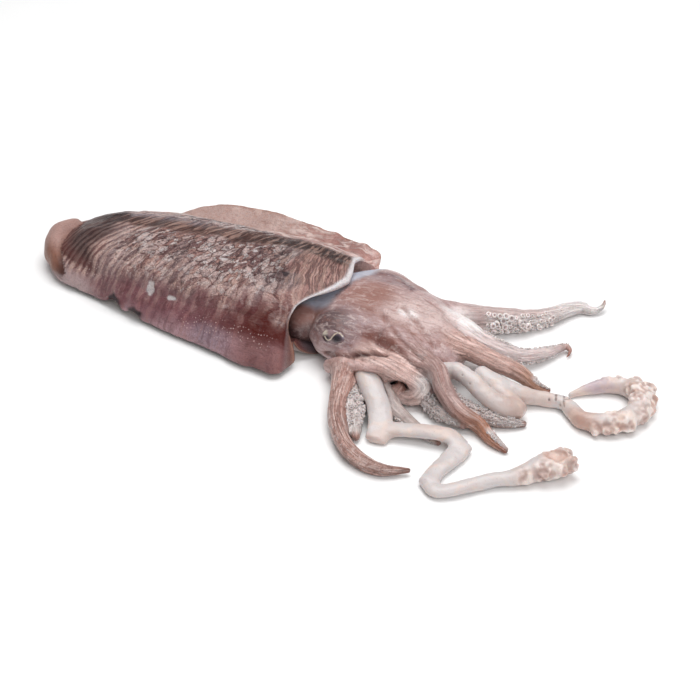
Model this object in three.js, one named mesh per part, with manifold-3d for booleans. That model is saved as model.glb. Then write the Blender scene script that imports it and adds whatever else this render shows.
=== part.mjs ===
// A whole raw cuttlefish, lying on its belly with its arms and its two feeding tentacles
// spread on the table in front of it.
// Millimetres. +X runs from the tail to the arms, +Y to the animal's left, +Z up.
// The origin is on the flat of the belly, under the middle of the mantle.

import * as THREE from "three";
import { mergeVertices } from "three/addons/utils/BufferGeometryUtils.js";
import Module from "manifold-3d";

const wasm = await Module();
wasm.setup();

const TABLE = 0;
// Soft pieces that lie on the table press flat by this much.
const PRESS = 0.3;
// Room left between two pieces that touch.
const CLEARANCE = 0.4;

// The mantle, a flattened sleeve. The ridge leans to the right, and the wall is thinnest at the lip.
const MANTLE = {
  tail: -113,
  length: 204,
  right: 48,
  left: 43,
  height: 41,
  ridgeAside: 5,
  finReach: 70,
  finThickness: 3.6,
  finEdge: 2,
  lip: 2.4,
  wall: 5,
  pocketFloor: 4,
};
const MANTLE_STEPS = { tail: 8, body: 27, pocket: 3 };

// Shares of the mantle: the rounded tail's length, the flat of the belly, the pocket's inner end
// against its mouth, and the height of its widest place.
const TAIL_SHARE = 0.14;
const FLAT_BELLY = 0.4;
const POCKET_END = 0.86;
const POCKET_MIDDLE = 0.45;

// Powers that bend the sections: how a fin droops, how full the back is, and how the lip draws back.
const FIN_DROOP = 1.3;
const FULLNESS = 0.9;
const LIP_DRAW = 5;

// Steps round half the girth of the mantle, from the middle of the belly to the ridge.
const GIRTH = { belly: 5, finUnder: 4, finTop: 4, dome: 7 };
const GIRTH_STEPS = GIRTH.belly + GIRTH.finUnder + GIRTH.finTop + GIRTH.dome;

// The head runs from the neck, inside the mantle, to the crown of arms.
const HEAD = { from: 62, to: 172, stations: 15, ringPoints: 20 };
const EYE = { length: 8.5, depth: 4, height: 5.5, sunk: 0.6 };
const BULGE = { length: 19, depth: 15, height: 15 };

const ARM = { ringPoints: 10, step: 5.5 };
const TENTACLE = { ringPoints: 10, step: 5 };
const LOBE = { ringPoints: 10, step: 6 };
// The size of the last rings of a tube, from its end inwards.
const ROUNDED_END = [0.45, 0.85];

const lerp = THREE.MathUtils.lerp;

// A smooth curve through a few [place, value] pairs, which never overshoots them.
function profile(...pairs) {
  const gap = (i) => pairs[i + 1][0] - pairs[i][0];
  const slope = (i) => (pairs[i + 1][1] - pairs[i][1]) / gap(i);
  const last = pairs.length - 1;
  const tangents = pairs.map((_, i) => {
    if (i === 0) return slope(0);
    if (i === last) return slope(last - 1);
    const [before, after] = [slope(i - 1), slope(i)];
    return before * after <= 0 ? 0 : (2 * before * after) / (before + after);
  });
  return (place) => {
    const at = THREE.MathUtils.clamp(place, pairs[0][0], pairs[last][0]);
    const i = Math.max(pairs.findIndex(([x]) => at <= x) - 1, 0);
    const t = (at - pairs[i][0]) / gap(i);
    const ease = t * t * (3 - 2 * t);
    const leave = t * (1 - t) ** 2 * gap(i) * tangents[i];
    const arrive = t * t * (t - 1) * gap(i) * tangents[i + 1];
    return lerp(pairs[i][1], pairs[i + 1][1], ease) + leave + arrive;
  };
}

function centreOf(ring) {
  const sum = ring.reduce((total, point) => total.add(point), new THREE.Vector3());
  return sum.divideScalar(ring.length);
}

// A closed solid through rings of equal length, each end closed by a fan.
// Rings run right-handed about the way they follow each other.
function loft(rings) {
  const n = rings[0].length;
  const points = rings.flat();
  const first = points.push(centreOf(rings[0])) - 1;
  const last = points.push(centreOf(rings.at(-1))) - 1;
  const end = (rings.length - 1) * n;
  const faces = [];
  for (let j = 0; j < n; j++) {
    const k = (j + 1) % n;
    for (let i = 0; i < end; i += n) {
      faces.push(i + j, i + k, i + n + k, i + j, i + n + k, i + n + j);
    }
    faces.push(first, k, j, last, end + j, end + k);
  }
  const geometry = new THREE.BufferGeometry().setFromPoints(points);
  geometry.setIndex(faces);
  return geometry;
}

// A tube along a route of [x, y, z, half width, half height] stops, flat where it meets the table.
function tube(stops, { ringPoints, step }, grow = 0) {
  const places = stops.map(([x, y, z]) => new THREE.Vector3(x, y, z));
  const route = new THREE.CatmullRomCurve3(places, false, "centripetal");
  const sizes = (column) => profile(...stops.map((stop, i) => [i / (stops.length - 1), stop[column]]));
  const [halfWidth, halfHeight] = [sizes(3), sizes(4)];
  const steps = Math.max(4, Math.round(route.getLength() / step));
  const up = new THREE.Vector3(0, 0, 1);
  const rings = [];
  for (let i = 0; i <= steps; i++) {
    const t = route.getUtoTmapping(i / steps);
    const along = route.getTangent(t);
    up.addScaledVector(along, -up.dot(along)).normalize();
    const side = new THREE.Vector3().crossVectors(up, along);
    const size = ROUNDED_END[Math.min(i, steps - i)] ?? 1;
    const ring = [];
    for (let j = 0; j < ringPoints; j++) {
      const angle = (2 * Math.PI * j) / ringPoints;
      const point = route.getPoint(t);
      point.addScaledVector(side, Math.cos(angle) * (halfWidth(t) * size + grow));
      point.addScaledVector(up, Math.sin(angle) * (halfHeight(t) * size + grow));
      point.z = Math.max(point.z, TABLE - grow);
      ring.push(point);
    }
    rings.push(ring);
  }
  return loft(rings);
}

// A stop that lies on the table.
const lying = (x, y, halfWidth, halfHeight) => [x, y, halfHeight - PRESS, halfWidth, halfHeight];

function ellipsoid({ length, depth, height }, widthSegments, heightSegments, grow = 0) {
  return new THREE.SphereGeometry(1, widthSegments, heightSegments)
    .scale(length + grow, depth + grow, height + grow);
}

// Joins and cuts: a geometry becomes a solid and comes back.
function toSolid(geometry) {
  const bare = geometry.clone();
  bare.deleteAttribute("normal");
  bare.deleteAttribute("uv");
  const merged = mergeVertices(bare, 1e-4);
  return new wasm.Manifold(
    new wasm.Mesh({
      numProp: 3,
      vertProperties: merged.attributes.position.array,
      triVerts: new Uint32Array(merged.index.array),
    }),
  );
}

function toGeometry(solid) {
  const mesh = solid.getMesh();
  const geometry = new THREE.BufferGeometry();
  geometry.setAttribute("position", new THREE.BufferAttribute(mesh.vertProperties, 3));
  geometry.setIndex(new THREE.BufferAttribute(mesh.triVerts, 1));
  return geometry;
}

const union = (solids) => solids.reduce((whole, next) => whole.add(next));
const tubes = (routes, kind, grow = 0) => union(routes.map((stops) => toSolid(tube(stops, kind, grow))));

function largestBody(solid) {
  return solid.decompose().reduce((a, b) => (b.volume() > a.volume() ? b : a));
}

// Mantle profiles, over the share of its length from the tail to the ridge's end of the lip.
const dorsumWidth = profile(
  [0, 0.14], [0.015, 0.3], [0.05, 0.45], [0.12, 0.62], [0.25, 0.79], [0.45, 0.93], [0.68, 1], [0.88, 1],
  [1, 0.96],
);
const ridgeHeight = profile(
  [0, 0.37], [0.015, 0.4], [0.04, 0.43], [0.08, 0.57], [0.14, 0.71], [0.22, 0.81], [0.36, 0.9],
  [0.6, 0.96], [0.82, 1], [1, 0.98],
);
const bellyHeight = profile([0, 9], [0.03, 5], [0.08, 1.5], [0.16, TABLE], [1, TABLE]);
const finRootHeight = profile([0, 11], [0.1, 11], [0.25, 13], [1, 13]);

// How far the fins reach from the axis, and how high their edges are.
// The right fin droops to the table in shallow waves, and the left one stays up.
const finReach = {
  right: profile(
    [0, 0.12], [0.015, 0.28], [0.05, 0.44], [0.11, 0.54], [0.26, 0.62], [0.44, 0.75], [0.66, 0.87],
    [0.86, 0.97], [0.95, 1], [0.985, 0.95], [1, 0.74],
  ),
  left: profile(
    [0, 0.12], [0.015, 0.24], [0.05, 0.34], [0.12, 0.45], [0.25, 0.7], [0.4, 0.94], [0.55, 0.98],
    [0.7, 0.95], [0.88, 0.89], [0.95, 0.84], [0.98, 0.77], [1, 0.63],
  ),
};
const finEdgeHeight = {
  right: profile(
    [0, 11], [0.05, 4], [0.1, 1.2], [0.2, 1.2], [0.25, 4], [0.3, 1.4], [0.36, 3.6], [0.42, 1], [0.7, 1],
    [1, 2],
  ),
  left: profile(
    [0, 12], [0.1, 8], [0.22, 11], [0.34, 18.5], [0.45, 21], [0.6, 21], [0.8, 19.5], [1, 18],
  ),
};

// How far the lip falls back from its front end, over the girth from the belly to the ridge.
const lipFall = {
  right: profile(
    [0, 5], [0.05, 1], [0.1, 0], [0.15, 3], [0.2, 9], [0.27, 13], [0.45, 9], [0.6, 14], [0.66, 16],
    [0.75, 17], [0.8, 16.5], [0.85, 13], [0.9, 7], [0.95, 2.5], [1, 0],
  ),
  left: profile(
    [0, 5], [0.05, 1], [0.1, 0], [0.15, 5], [0.2, 9], [0.3, 7], [0.45, 3], [0.65, 7], [0.75, 10],
    [0.85, 9], [0.9, 6], [0.95, 2.5], [1, 0],
  ),
};

const asideOf = (side) => (side === "right" ? MANTLE.ridgeAside : -MANTLE.ridgeAside);

// Half of a section of the mantle, as [distance from the axis, height] pairs from belly to ridge.
function halfSection(share, side) {
  const root = MANTLE[side] * dorsumWidth(share);
  const reach = Math.max(MANTLE.finReach * finReach[side](share), root + 1);
  const aside = asideOf(side) * Math.min(1, share / TAIL_SHARE);
  const rootBottom = finRootHeight(share);
  const rootTop = rootBottom + MANTLE.finThickness;
  const edge = finEdgeHeight[side](share);
  const ridge = MANTLE.height * ridgeHeight(share);
  const rows = [];
  for (let i = 0; i < GIRTH.belly; i++) {
    const t = i / GIRTH.belly;
    const rise = Math.max(0, t - FLAT_BELLY) / (1 - FLAT_BELLY);
    rows.push([root * Math.sin((t * Math.PI) / 2), lerp(bellyHeight(share), rootBottom, rise ** 2)]);
  }
  for (let i = 0; i < GIRTH.finUnder; i++) {
    const t = i / GIRTH.finUnder;
    rows.push([lerp(root, reach, t), lerp(rootBottom, edge, t ** FIN_DROOP)]);
  }
  for (let i = 0; i < GIRTH.finTop; i++) {
    const t = i / GIRTH.finTop;
    rows.push([lerp(reach, root, t), lerp(rootTop, edge + MANTLE.finEdge, (1 - t) ** FIN_DROOP)]);
  }
  for (let i = 0; i <= GIRTH.dome; i++) {
    const angle = ((i / GIRTH.dome) * Math.PI) / 2;
    rows.push([lerp(aside, root, Math.cos(angle)), lerp(rootTop, ridge, Math.sin(angle) ** FULLNESS)]);
  }
  return rows;
}

// The inner wall of the pocket behind the lip, row for row like the half section.
function halfPocket(depth, side) {
  const thickness = depth === 0 ? MANTLE.lip : MANTLE.wall;
  const narrowing = lerp(1, POCKET_END, depth);
  const width = (MANTLE[side] * dorsumWidth(1) - thickness) * narrowing;
  const top = (MANTLE.height * ridgeHeight(1) - thickness) * narrowing;
  const middle = lerp(MANTLE.pocketFloor, top, POCKET_MIDDLE);
  const rows = [];
  for (let i = 0; i <= GIRTH_STEPS; i++) {
    const angle = (i / GIRTH_STEPS - 0.5) * Math.PI;
    const end = angle < 0 ? MANTLE.pocketFloor : top;
    const aside = angle < 0 ? 0 : asideOf(side);
    const across = Math.max(Math.cos(angle), 0) ** FULLNESS;
    rows.push([lerp(aside, width, across), lerp(middle, end, Math.abs(Math.sin(angle)) ** FULLNESS)]);
  }
  return rows;
}

// A whole ring, right-handed about +X: up the left side and down the right.
function ringOf(half, share, place) {
  const points = (side, sign) =>
    half(share, side).map(([y, z], i) => {
      const fall = lipFall[side](i / GIRTH_STEPS);
      return new THREE.Vector3(place(fall), sign * y, z);
    });
  return [...points("left", 1), ...points("right", -1).slice(1, -1).reverse()];
}

function sleeveGeometry() {
  const front = MANTLE.tail + MANTLE.length;
  const shares = [];
  for (let i = 0; i < MANTLE_STEPS.tail; i++) {
    shares.push(TAIL_SHARE * (i / MANTLE_STEPS.tail) ** 1.5);
  }
  for (let i = 0; i <= MANTLE_STEPS.body; i++) {
    shares.push(lerp(TAIL_SHARE, 1, i / MANTLE_STEPS.body));
  }
  const outer = shares.map((share) =>
    ringOf(halfSection, share, (fall) => lerp(MANTLE.tail, front, share) - fall * share ** LIP_DRAW),
  );
  const pocketEnd = HEAD.from - CLEARANCE;
  const inner = [];
  for (let i = 0; i <= MANTLE_STEPS.pocket; i++) {
    const depth = i / MANTLE_STEPS.pocket;
    inner.push(ringOf(halfPocket, depth, (fall) => lerp(front - fall, pocketEnd, depth)));
  }
  return loft([...outer, ...inner]);
}

// The fin round the tail stands up as a curled lobe, with a crease between it and the back.
const tailLobe = [
  [-86, -36, 5, 2.4, 4],
  [-100, -29, 8, 3, 7],
  [-111, -20, 11, 3.4, 10],
  [-117, -8, 13, 3.4, 11],
  [-115, 3, 14, 3.4, 10.5],
  [-108, 10, 11, 3, 8],
  [-98, 16, 9, 2.4, 5],
];

function mantleSolid() {
  return toSolid(sleeveGeometry()).add(toSolid(tube(tailLobe, LOBE)));
}

// Head profiles, over x.
const headMiddle = profile([62, 0], [92, -1], [118, -6], [146, -13], [172, -20]);
const headHalfWidth = profile(
  [62, 22], [80, 26], [92, 32], [106, 36], [120, 35], [134, 32], [148, 28], [160, 22], [172, 12],
);
const headTop = profile(
  [62, 27], [80, 31], [92, 34], [106, 35.5], [120, 35.5], [134, 34.5], [148, 31.5], [160, 27], [172, 20],
);
const headBottom = profile([62, 9], [80, 6.5], [92, 4], [106, 1.5], [134, 1], [150, 2.5], [172, 9]);

function skullGeometry() {
  const rings = [];
  for (let i = 0; i <= HEAD.stations; i++) {
    const x = lerp(HEAD.from, HEAD.to, i / HEAD.stations);
    const ring = [];
    for (let j = 0; j < HEAD.ringPoints; j++) {
      const angle = (2 * Math.PI * j) / HEAD.ringPoints;
      const y = headMiddle(x) + headHalfWidth(x) * Math.cos(angle);
      const z = lerp(headBottom(x), headTop(x), (1 + Math.sin(angle)) / 2);
      ring.push(new THREE.Vector3(x, y, z));
    }
    rings.push(ring);
  }
  return loft(rings);
}

// Each eye is a shallow lens set in a round bulge on the side of the head.
const eyes = {
  right: {
    bulge: new THREE.Vector3(102, -32, 15.2),
    out: new THREE.Vector3(0.1, -0.87, 0.48).normalize(),
  },
  left: {
    bulge: new THREE.Vector3(105, 19, 15.2),
    out: new THREE.Vector3(0.1, 0.95, 0.2).normalize(),
  },
};

function bulgeGeometry({ bulge }) {
  return ellipsoid(BULGE, 16, 10).translate(bulge.x, bulge.y, bulge.z);
}

function eyeGeometry({ bulge, out }, grow = 0) {
  const reach = 1 / Math.hypot(out.x / BULGE.length, out.y / BULGE.depth, out.z / BULGE.height);
  const place = bulge.clone().addScaledVector(out, reach - EYE.depth * EYE.sunk);
  const turn = new THREE.Quaternion().setFromUnitVectors(new THREE.Vector3(0, Math.sign(out.y), 0), out);
  return ellipsoid(EYE, 14, 10, grow).applyQuaternion(turn).translate(place.x, place.y, place.z);
}

// Arms, as stops from inside the head to the tip, in order from the right to the left.
const armRoutes = {
  // The broad outermost arm curls forward along the table.
  rightFourth: [
    [106, -32, 9, 9, 8.5],
    [115, -47, 9.5, 10, 9],
    [123, -65, 9.5, 8.6, 8.8],
    [132, -86, 7.6, 7.6, 7.8],
    [143, -104, 6, 6.4, 6.4],
    lying(157, -117, 5.2, 5.2),
    lying(172, -120, 3.8, 3.6),
    [184, -113, 2.6, 1.6, 1.6],
  ],
  // The next one is drawn up and bends down into a blunt curl.
  rightThird: [
    [112, -34, 17, 10, 9],
    [130, -47, 21, 11, 9],
    [146, -51, 20.5, 10, 10],
    [156, -56, 13.5, 9, 9.5],
    [158, -58, 8.2, 8.4, 8.6],
  ],
  leftFourth: [
    [124, -40, 10, 8, 7],
    [140, -59, 7.5, 5.6, 6],
    lying(151, -68, 4.8, 4.6),
    lying(166, -76, 4.2, 3.2),
    lying(178, -81, 3.2, 2.2),
    lying(187, -84, 1.4, 1.6),
  ],
  rightSecond: [
    [134, -34, 24, 9, 9],
    [152, -46, 24, 7.5, 7],
    [166, -51, 22, 6.5, 6],
    [177, -57, 16, 6, 5.5],
    [188, -64, 9, 6, 5.5],
    lying(200, -68, 5, 5.4),
    lying(211, -71, 4, 4),
    lying(221, -74, 1.6, 1.8),
  ],
  leftThird: [
    [146, -30, 12, 8, 8],
    [164, -40, 9, 6.5, 6.5],
    lying(180, -50, 5.2, 5.4),
    lying(196, -54, 4.4, 4.6),
    lying(209, -53, 3.4, 3.6),
    lying(221, -47, 1.8, 2),
  ],
  rightFirst: [
    [148, -14, 23, 9, 8.5],
    [168, -18, 21, 7, 6.5],
    [184, -18, 17.5, 6, 5.6],
    [196, -16, 13.5, 5.4, 5],
    [206, -14, 9, 4.8, 4.5],
    [214, -15, 5, 3.2, 3],
    lying(221, -11, 1.6, 1.8),
  ],
  leftFirst: [
    [146, 0, 21, 9, 8.5],
    [165, -4, 20, 7.5, 7],
    [177, -3, 16, 6, 5.5],
    [187, 1, 11, 5.2, 4.8],
    [197, 6, 7.5, 4.5, 4.3],
    [207, 19, 4.6, 3.5, 3.4],
    lying(213, 29, 2.5, 2.6),
    lying(218, 32, 1.2, 1.4),
  ],
  leftSecond: [
    [134, 8, 17, 10, 9],
    [151, 15, 15, 9, 8],
    [163, 24, 11.5, 8, 7.4],
    [174, 33, 8.6, 7, 6.6],
    lying(187, 46, 6, 6),
    lying(195, 58, 5, 5),
    lying(201, 71, 4.5, 4.4),
    lying(209, 79, 3.5, 3.6),
    lying(217, 80, 2.2, 2.6),
    lying(218, 89, 1.2, 1.6),
  ],
};

// Feeding tentacles: soft ribbons that end in a club. Where a ribbon folds sharply, one strand ends
// and the next begins.
const tentacleRoutes = {
  right: [
    [
      [126, -49, 13, 4.5, 4.5],
      [131, -60, 15, 6, 5.5],
      [138, -68, 13.5, 6, 5.2],
      [146, -77, 8.5, 6, 4.8],
      [154, -88, 4.6, 6.8, 4],
      lying(154, -97, 6.5, 3.6),
    ],
    [
      lying(152, -95, 6.5, 3.6),
      [166, -87, 6.5, 5.4, 3.4],
      [180, -81, 9, 5.2, 3.4],
      [191, -78, 6.5, 5.4, 3.4],
      lying(200, -80, 5.2, 3.6),
      lying(204, -88, 5, 3.6),
      lying(201, -103, 4.8, 3.6),
      lying(197, -115, 4.8, 3.6),
      lying(203, -121, 5.2, 3.6),
      lying(212, -118, 5.2, 3.8),
      lying(224, -110, 4.6, 4),
      lying(234, -100, 4.8, 4.4),
      lying(244, -91, 6, 5.4),
      lying(253, -82, 7.6, 7.4),
      lying(260, -72, 7.4, 8.4),
    ],
  ],
  left: [
    [
      [156, -32, 19.5, 4, 4],
      [168, -39, 19.5, 4.6, 4.6],
      [176, -38, 18, 5, 4.8],
      [187, -42, 16.5, 5.2, 4.8],
      [198, -46, 12, 5.6, 4.8],
      [208, -46, 8, 6, 5],
      [215, -42, 5.6, 5.5, 5],
    ],
    [
      [215, -42, 5.6, 5.5, 5],
      [205, -36, 7.5, 5.5, 5],
      [194, -31, 10, 5, 4.6],
      [186, -27, 12, 4.5, 4.5],
    ],
    [
      [186, -27, 12, 4.5, 4.5],
      [198, -30, 10, 6, 5],
      [210, -28, 6.5, 5.5, 4.8],
      lying(223, -23, 4.2, 4.2),
      lying(234, -22, 4, 4),
      lying(242, -27, 4.4, 4.4),
      lying(251, -32, 5, 5),
      lying(262, -31, 5.8, 5.6),
      lying(271, -24, 7, 6.4),
      lying(274, -11, 7, 6.6),
      lying(270, 2, 6.6, 6.4),
      lying(260, 7, 5.8, 5.6),
      lying(248, 4, 4.6, 4.6),
      lying(239, -3, 3, 3.2),
      lying(233, -10, 1.4, 1.8),
    ],
  ],
};

function headSolid() {
  const flesh = union([
    toSolid(skullGeometry()),
    ...Object.values(eyes).map((eye) => toSolid(bulgeGeometry(eye))),
    tubes(Object.values(armRoutes), ARM),
  ]);
  const hollows = union([
    ...Object.values(eyes).map((eye) => toSolid(eyeGeometry(eye, CLEARANCE))),
    ...Object.values(tentacleRoutes).map((routes) => tubes(routes, TENTACLE, CLEARANCE)),
  ]);
  return largestBody(flesh.subtract(hollows));
}

const finishes = {
  skin: new THREE.MeshStandardMaterial({ color: 0x86695f, roughness: 0.45, metalness: 0 }),
  flesh: new THREE.MeshStandardMaterial({ color: 0xb5948a, roughness: 0.45, metalness: 0 }),
  ribbon: new THREE.MeshStandardMaterial({ color: 0xe2d6cb, roughness: 0.4, metalness: 0 }),
  eye: new THREE.MeshStandardMaterial({ color: 0x3a3540, roughness: 0.2, metalness: 0 }),
};

function named(name, geometry, finish) {
  const mesh = new THREE.Mesh(geometry, finish.clone());
  mesh.name = name;
  return mesh;
}

const cuttlefish = new THREE.Group();
cuttlefish.add(named("mantle", toGeometry(mantleSolid()), finishes.skin));
cuttlefish.add(named("head_and_arms", toGeometry(headSolid()), finishes.flesh));
for (const [side, routes] of Object.entries(tentacleRoutes)) {
  cuttlefish.add(named(`tentacle_${side}`, toGeometry(tubes(routes, TENTACLE)), finishes.ribbon));
}
for (const [side, eye] of Object.entries(eyes)) {
  cuttlefish.add(named(`eye_${side}`, eyeGeometry(eye), finishes.eye));
}

export default cuttlefish;
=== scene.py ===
"""The looks of a raw whole cuttlefish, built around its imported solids.

Shapes are worked out in millimetres in the solids' frame: +X from the tail to the arms, +Y to the
animal's left, +Z up, with the belly on the table at z = 0. They become metres when a mesh is made.
"""

import itertools
import math
from types import SimpleNamespace

import bmesh
import bpy
import numpy as np
import openvdb
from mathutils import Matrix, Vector
from mathutils.kdtree import KDTree


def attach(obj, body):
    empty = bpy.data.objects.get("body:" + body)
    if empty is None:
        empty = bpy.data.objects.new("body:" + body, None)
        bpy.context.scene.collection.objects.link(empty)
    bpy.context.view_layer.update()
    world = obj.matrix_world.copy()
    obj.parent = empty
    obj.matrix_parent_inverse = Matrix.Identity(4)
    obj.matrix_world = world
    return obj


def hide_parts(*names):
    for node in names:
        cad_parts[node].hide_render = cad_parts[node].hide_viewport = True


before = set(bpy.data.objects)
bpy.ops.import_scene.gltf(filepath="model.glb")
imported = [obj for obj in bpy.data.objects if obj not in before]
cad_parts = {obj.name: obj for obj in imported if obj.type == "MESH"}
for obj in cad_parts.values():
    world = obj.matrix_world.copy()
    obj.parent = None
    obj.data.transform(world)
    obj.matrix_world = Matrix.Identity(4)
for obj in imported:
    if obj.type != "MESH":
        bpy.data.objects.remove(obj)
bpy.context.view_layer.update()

MM = 0.001
MM_PER_CM = 10
CM_PER_M = 100
TABLE = 0.0
# How far what lies on the table reaches into it, before it is pressed flat there.
PRESS = 0.3
# The gap between the arms and the tentacles.
CLEARANCE = 0.3

# Camera as fitted to the photograph: degrees round and up, and millimetres.
VIEW = {"azimuth": 27, "elevation": 33, "distance": 960, "target": (102, -22, 0), "lens": 85, "sensor": 36}


# Curves, noise and soft masks

def lerp(a, b, t):
    return a + (b - a) * t


def ramp(value, low, high):
    """Goes smoothly from 0 at low to 1 at high."""
    t = np.clip((value - low) / (high - low), 0, 1)
    return t * t * (3 - 2 * t)


def bump(value, middle, half_width):
    """1 at the middle, falling smoothly to 0 at the half width on either side."""
    return 1 - ramp(np.abs(value - middle), 0, half_width)


def profile(*pairs):
    """A smooth curve through a few (place, value) pairs, which never overshoots them."""
    places, values = np.array(pairs, float).T
    gaps = np.diff(places)
    slopes = np.diff(values) / gaps
    before, after = slopes[:-1], slopes[1:]
    same_way = before * after > 0
    total = np.where(same_way, before + after, 1)
    inner = np.where(same_way, 2 * before * after / total, 0)
    tangents = np.concatenate([slopes[:1], inner, slopes[-1:]])

    def at(place):
        place = np.clip(place, places[0], places[-1])
        i = np.clip(np.searchsorted(places, place) - 1, 0, len(gaps) - 1)
        t = (place - places[i]) / gaps[i]
        leave = t * (1 - t)**2 * gaps[i] * tangents[i]
        arrive = t * t * (t - 1) * gaps[i] * tangents[i + 1]
        return lerp(values[i], values[i + 1], t * t * (3 - 2 * t)) + leave + arrive

    return at


LATTICE = 48


def noise(points, size, seed):
    """Smooth noise from -1 to 1 with features of about the given size, a number or one for each axis."""
    table = np.random.default_rng(seed).uniform(-1, 1, (LATTICE,) * 3)
    at = np.asarray(points) / size
    cell = np.floor(at).astype(int)
    part = at - cell
    ease = part**3 * (part * (part * 6 - 15) + 10)
    total = np.zeros(len(at))
    for corner in itertools.product((0, 1), repeat=3):
        weight = np.prod(np.where(corner, ease, 1 - ease), axis=1)
        i, j, k = ((cell + corner) % LATTICE).T
        total += weight * table[i, j, k]
    return total


def fractal(points, size, seed, octaves=3):
    """Noise with finer and fainter noise laid over it."""
    return sum(noise(points, np.asarray(size) / 2**i, seed + i) / 2**i for i in range(octaves))


def blot(points, centre, size, edge=0.5):
    """1 in an ellipsoid and 0 outside it, fading over a share of its size."""
    distance = np.linalg.norm((points - np.array(centre)) / np.array(size), axis=1)
    return 1 - ramp(distance, 1 - edge, 1 + edge)


def near_line(points, line, half_width):
    """1 along a broken line of points, falling to 0 at the half width."""
    line = np.array(line, float)
    best = np.full(len(points), np.inf)
    for a, b in zip(line[:-1], line[1:]):
        t = np.clip((points - a) @ (b - a) / ((b - a) @ (b - a)), 0, 1)
        best = np.minimum(best, np.linalg.norm(points - a - t[:, None] * (b - a), axis=1))
    return 1 - ramp(best, 0, half_width)


def rgb(red, green, blue):
    """A colour as it shows on a screen, turned into linear light."""
    shown = np.array([red, green, blue]) / 255
    return np.where(shown <= 0.04045, shown / 12.92, ((shown + 0.055) / 1.055)**2.4)


def palette(**shades):
    """Named colours, given as they show on a screen."""
    return {name: rgb(*shade) for name, shade in shades.items()}


class Ground:
    """A colour for each point, over which colours of a palette are laid one after another."""

    def __init__(self, points, colours, shades):
        self.points = points
        self.colours = colours
        self.shades = np.broadcast_to(shades, (len(points), 3)).copy()

    def lay(self, shades, amount):
        """Lays one colour, or one for each point, by an amount for each point."""
        self.shades += (shades - self.shades) * np.clip(amount, 0, 1)[:, None]

    def tint(self, name, amount):
        self.lay(self.colours[name], amount)

    def blot(self, name, strength, centre, size, edge=0.5):
        self.tint(name, strength * blot(self.points, centre, size, edge))

    def line(self, name, strength, line, half_width):
        self.tint(name, strength * near_line(self.points, line, half_width))


def rough(points, layers):
    """Relief from layers of noise, each with its height, the size of its features and its seed."""
    return sum(height * noise(points, size, seed) for height, size, seed in layers)


# Routes of soft tubes

END_ROUNDNESS = 0.6
SPLINE_STEPS = 40
FEWEST_SAMPLES = 8


def spline_piece(p0, p1, p2, p3, t):
    """The centripetal spline from p1 to p2."""
    d0, d1, d2 = (np.linalg.norm(b - a)**0.5 for a, b in ((p0, p1), (p1, p2), (p2, p3)))
    leave = d1 * ((p1 - p0) / d0 - (p2 - p0) / (d0 + d1) + (p2 - p1) / d1)
    arrive = d1 * ((p2 - p1) / d1 - (p3 - p1) / (d1 + d2) + (p3 - p2) / d2)
    t = t[:, None]
    ease = t * t * (3 - 2 * t)
    return lerp(p1, p2, ease) + t * (1 - t)**2 * leave + t * t * (t - 1) * arrive


class Route:
    """A tube's middle line as evenly spaced samples, each with its frame and its half sizes."""

    def __init__(self, stops, spacing=0.7):
        stops = np.array(stops, float)
        ends = 2 * stops[[0, -1], :3] - stops[[1, -2], :3]
        places = np.vstack([ends[:1], stops[:, :3], ends[1:]])
        t = np.linspace(0, 1, SPLINE_STEPS, endpoint=False)
        pieces = [spline_piece(*places[i:i + 4], t) for i in range(len(stops) - 1)]
        line = np.vstack(pieces + [stops[-1:, :3]])
        index = np.concatenate([i + t for i in range(len(stops) - 1)] + [[len(stops) - 1]])
        lengths = np.concatenate([[0], np.cumsum(np.linalg.norm(np.diff(line, axis=0), axis=1))])
        self.length = lengths[-1]
        self.run = np.linspace(0, self.length, max(FEWEST_SAMPLES, round(self.length / spacing)))
        self.places = np.stack([np.interp(self.run, lengths, line[:, i]) for i in range(3)], axis=1)
        at = np.interp(self.run, lengths, index)
        self.width = profile(*enumerate(stops[:, 3]))(at)
        self.height = profile(*enumerate(stops[:, 4]))(at)
        self.along = np.gradient(self.places, axis=0)
        self.along /= np.linalg.norm(self.along, axis=1)[:, None]
        self.up = self.carried_up()
        self.side = np.cross(self.up, self.along)

    def carried_up(self):
        """An up direction that starts upright and turns only as the route bends."""
        ups = np.zeros_like(self.places)
        up = np.array([0.0, 0.0, 1.0])
        for i, along in enumerate(self.along):
            up = up - along * (up @ along)
            up /= np.linalg.norm(up)
            ups[i] = up
        return ups

    def skin_distance(self, points, sample):
        """How far points are from the tube's skin, and their turn round it, by each one's nearest sample."""
        offset = points - self.places[sample]
        width, height = self.width[sample], self.height[sample]
        ways = (self.side, self.up, self.along)
        local = np.stack([np.einsum("ij,ij->i", offset, way[sample]) for way in ways], axis=1)
        radii = np.stack([width, height, END_ROUNDNESS * np.minimum(width, height)], axis=1)
        turn = np.arctan2(local[:, 1] / height, local[:, 0] / width)
        return ellipsoid_distance(local, radii), turn

    def on_skin(self, i, angle):
        """A place on the skin at a sample and a turn, and the way out from it."""
        across, rise = math.cos(angle), math.sin(angle)
        place = self.places[i] + across * self.width[i] * self.side[i] + rise * self.height[i] * self.up[i]
        out = across * self.side[i] / self.width[i] + rise * self.up[i] / self.height[i]
        return place, out / np.linalg.norm(out)


def ellipsoid_distance(local, radii):
    """About how far points are outside an ellipsoid, in its own axes."""
    first = np.linalg.norm(local / radii, axis=-1)
    second = np.maximum(np.linalg.norm(local / radii**2, axis=-1), 1e-6)
    return first * (first - 1) / second


def lying(x, y, half_width, half_height):
    """A stop that lies on the table."""
    return (x, y, half_height - PRESS, half_width, half_height)


# Distance fields: negative inside the flesh, meshed where they pass through zero

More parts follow.
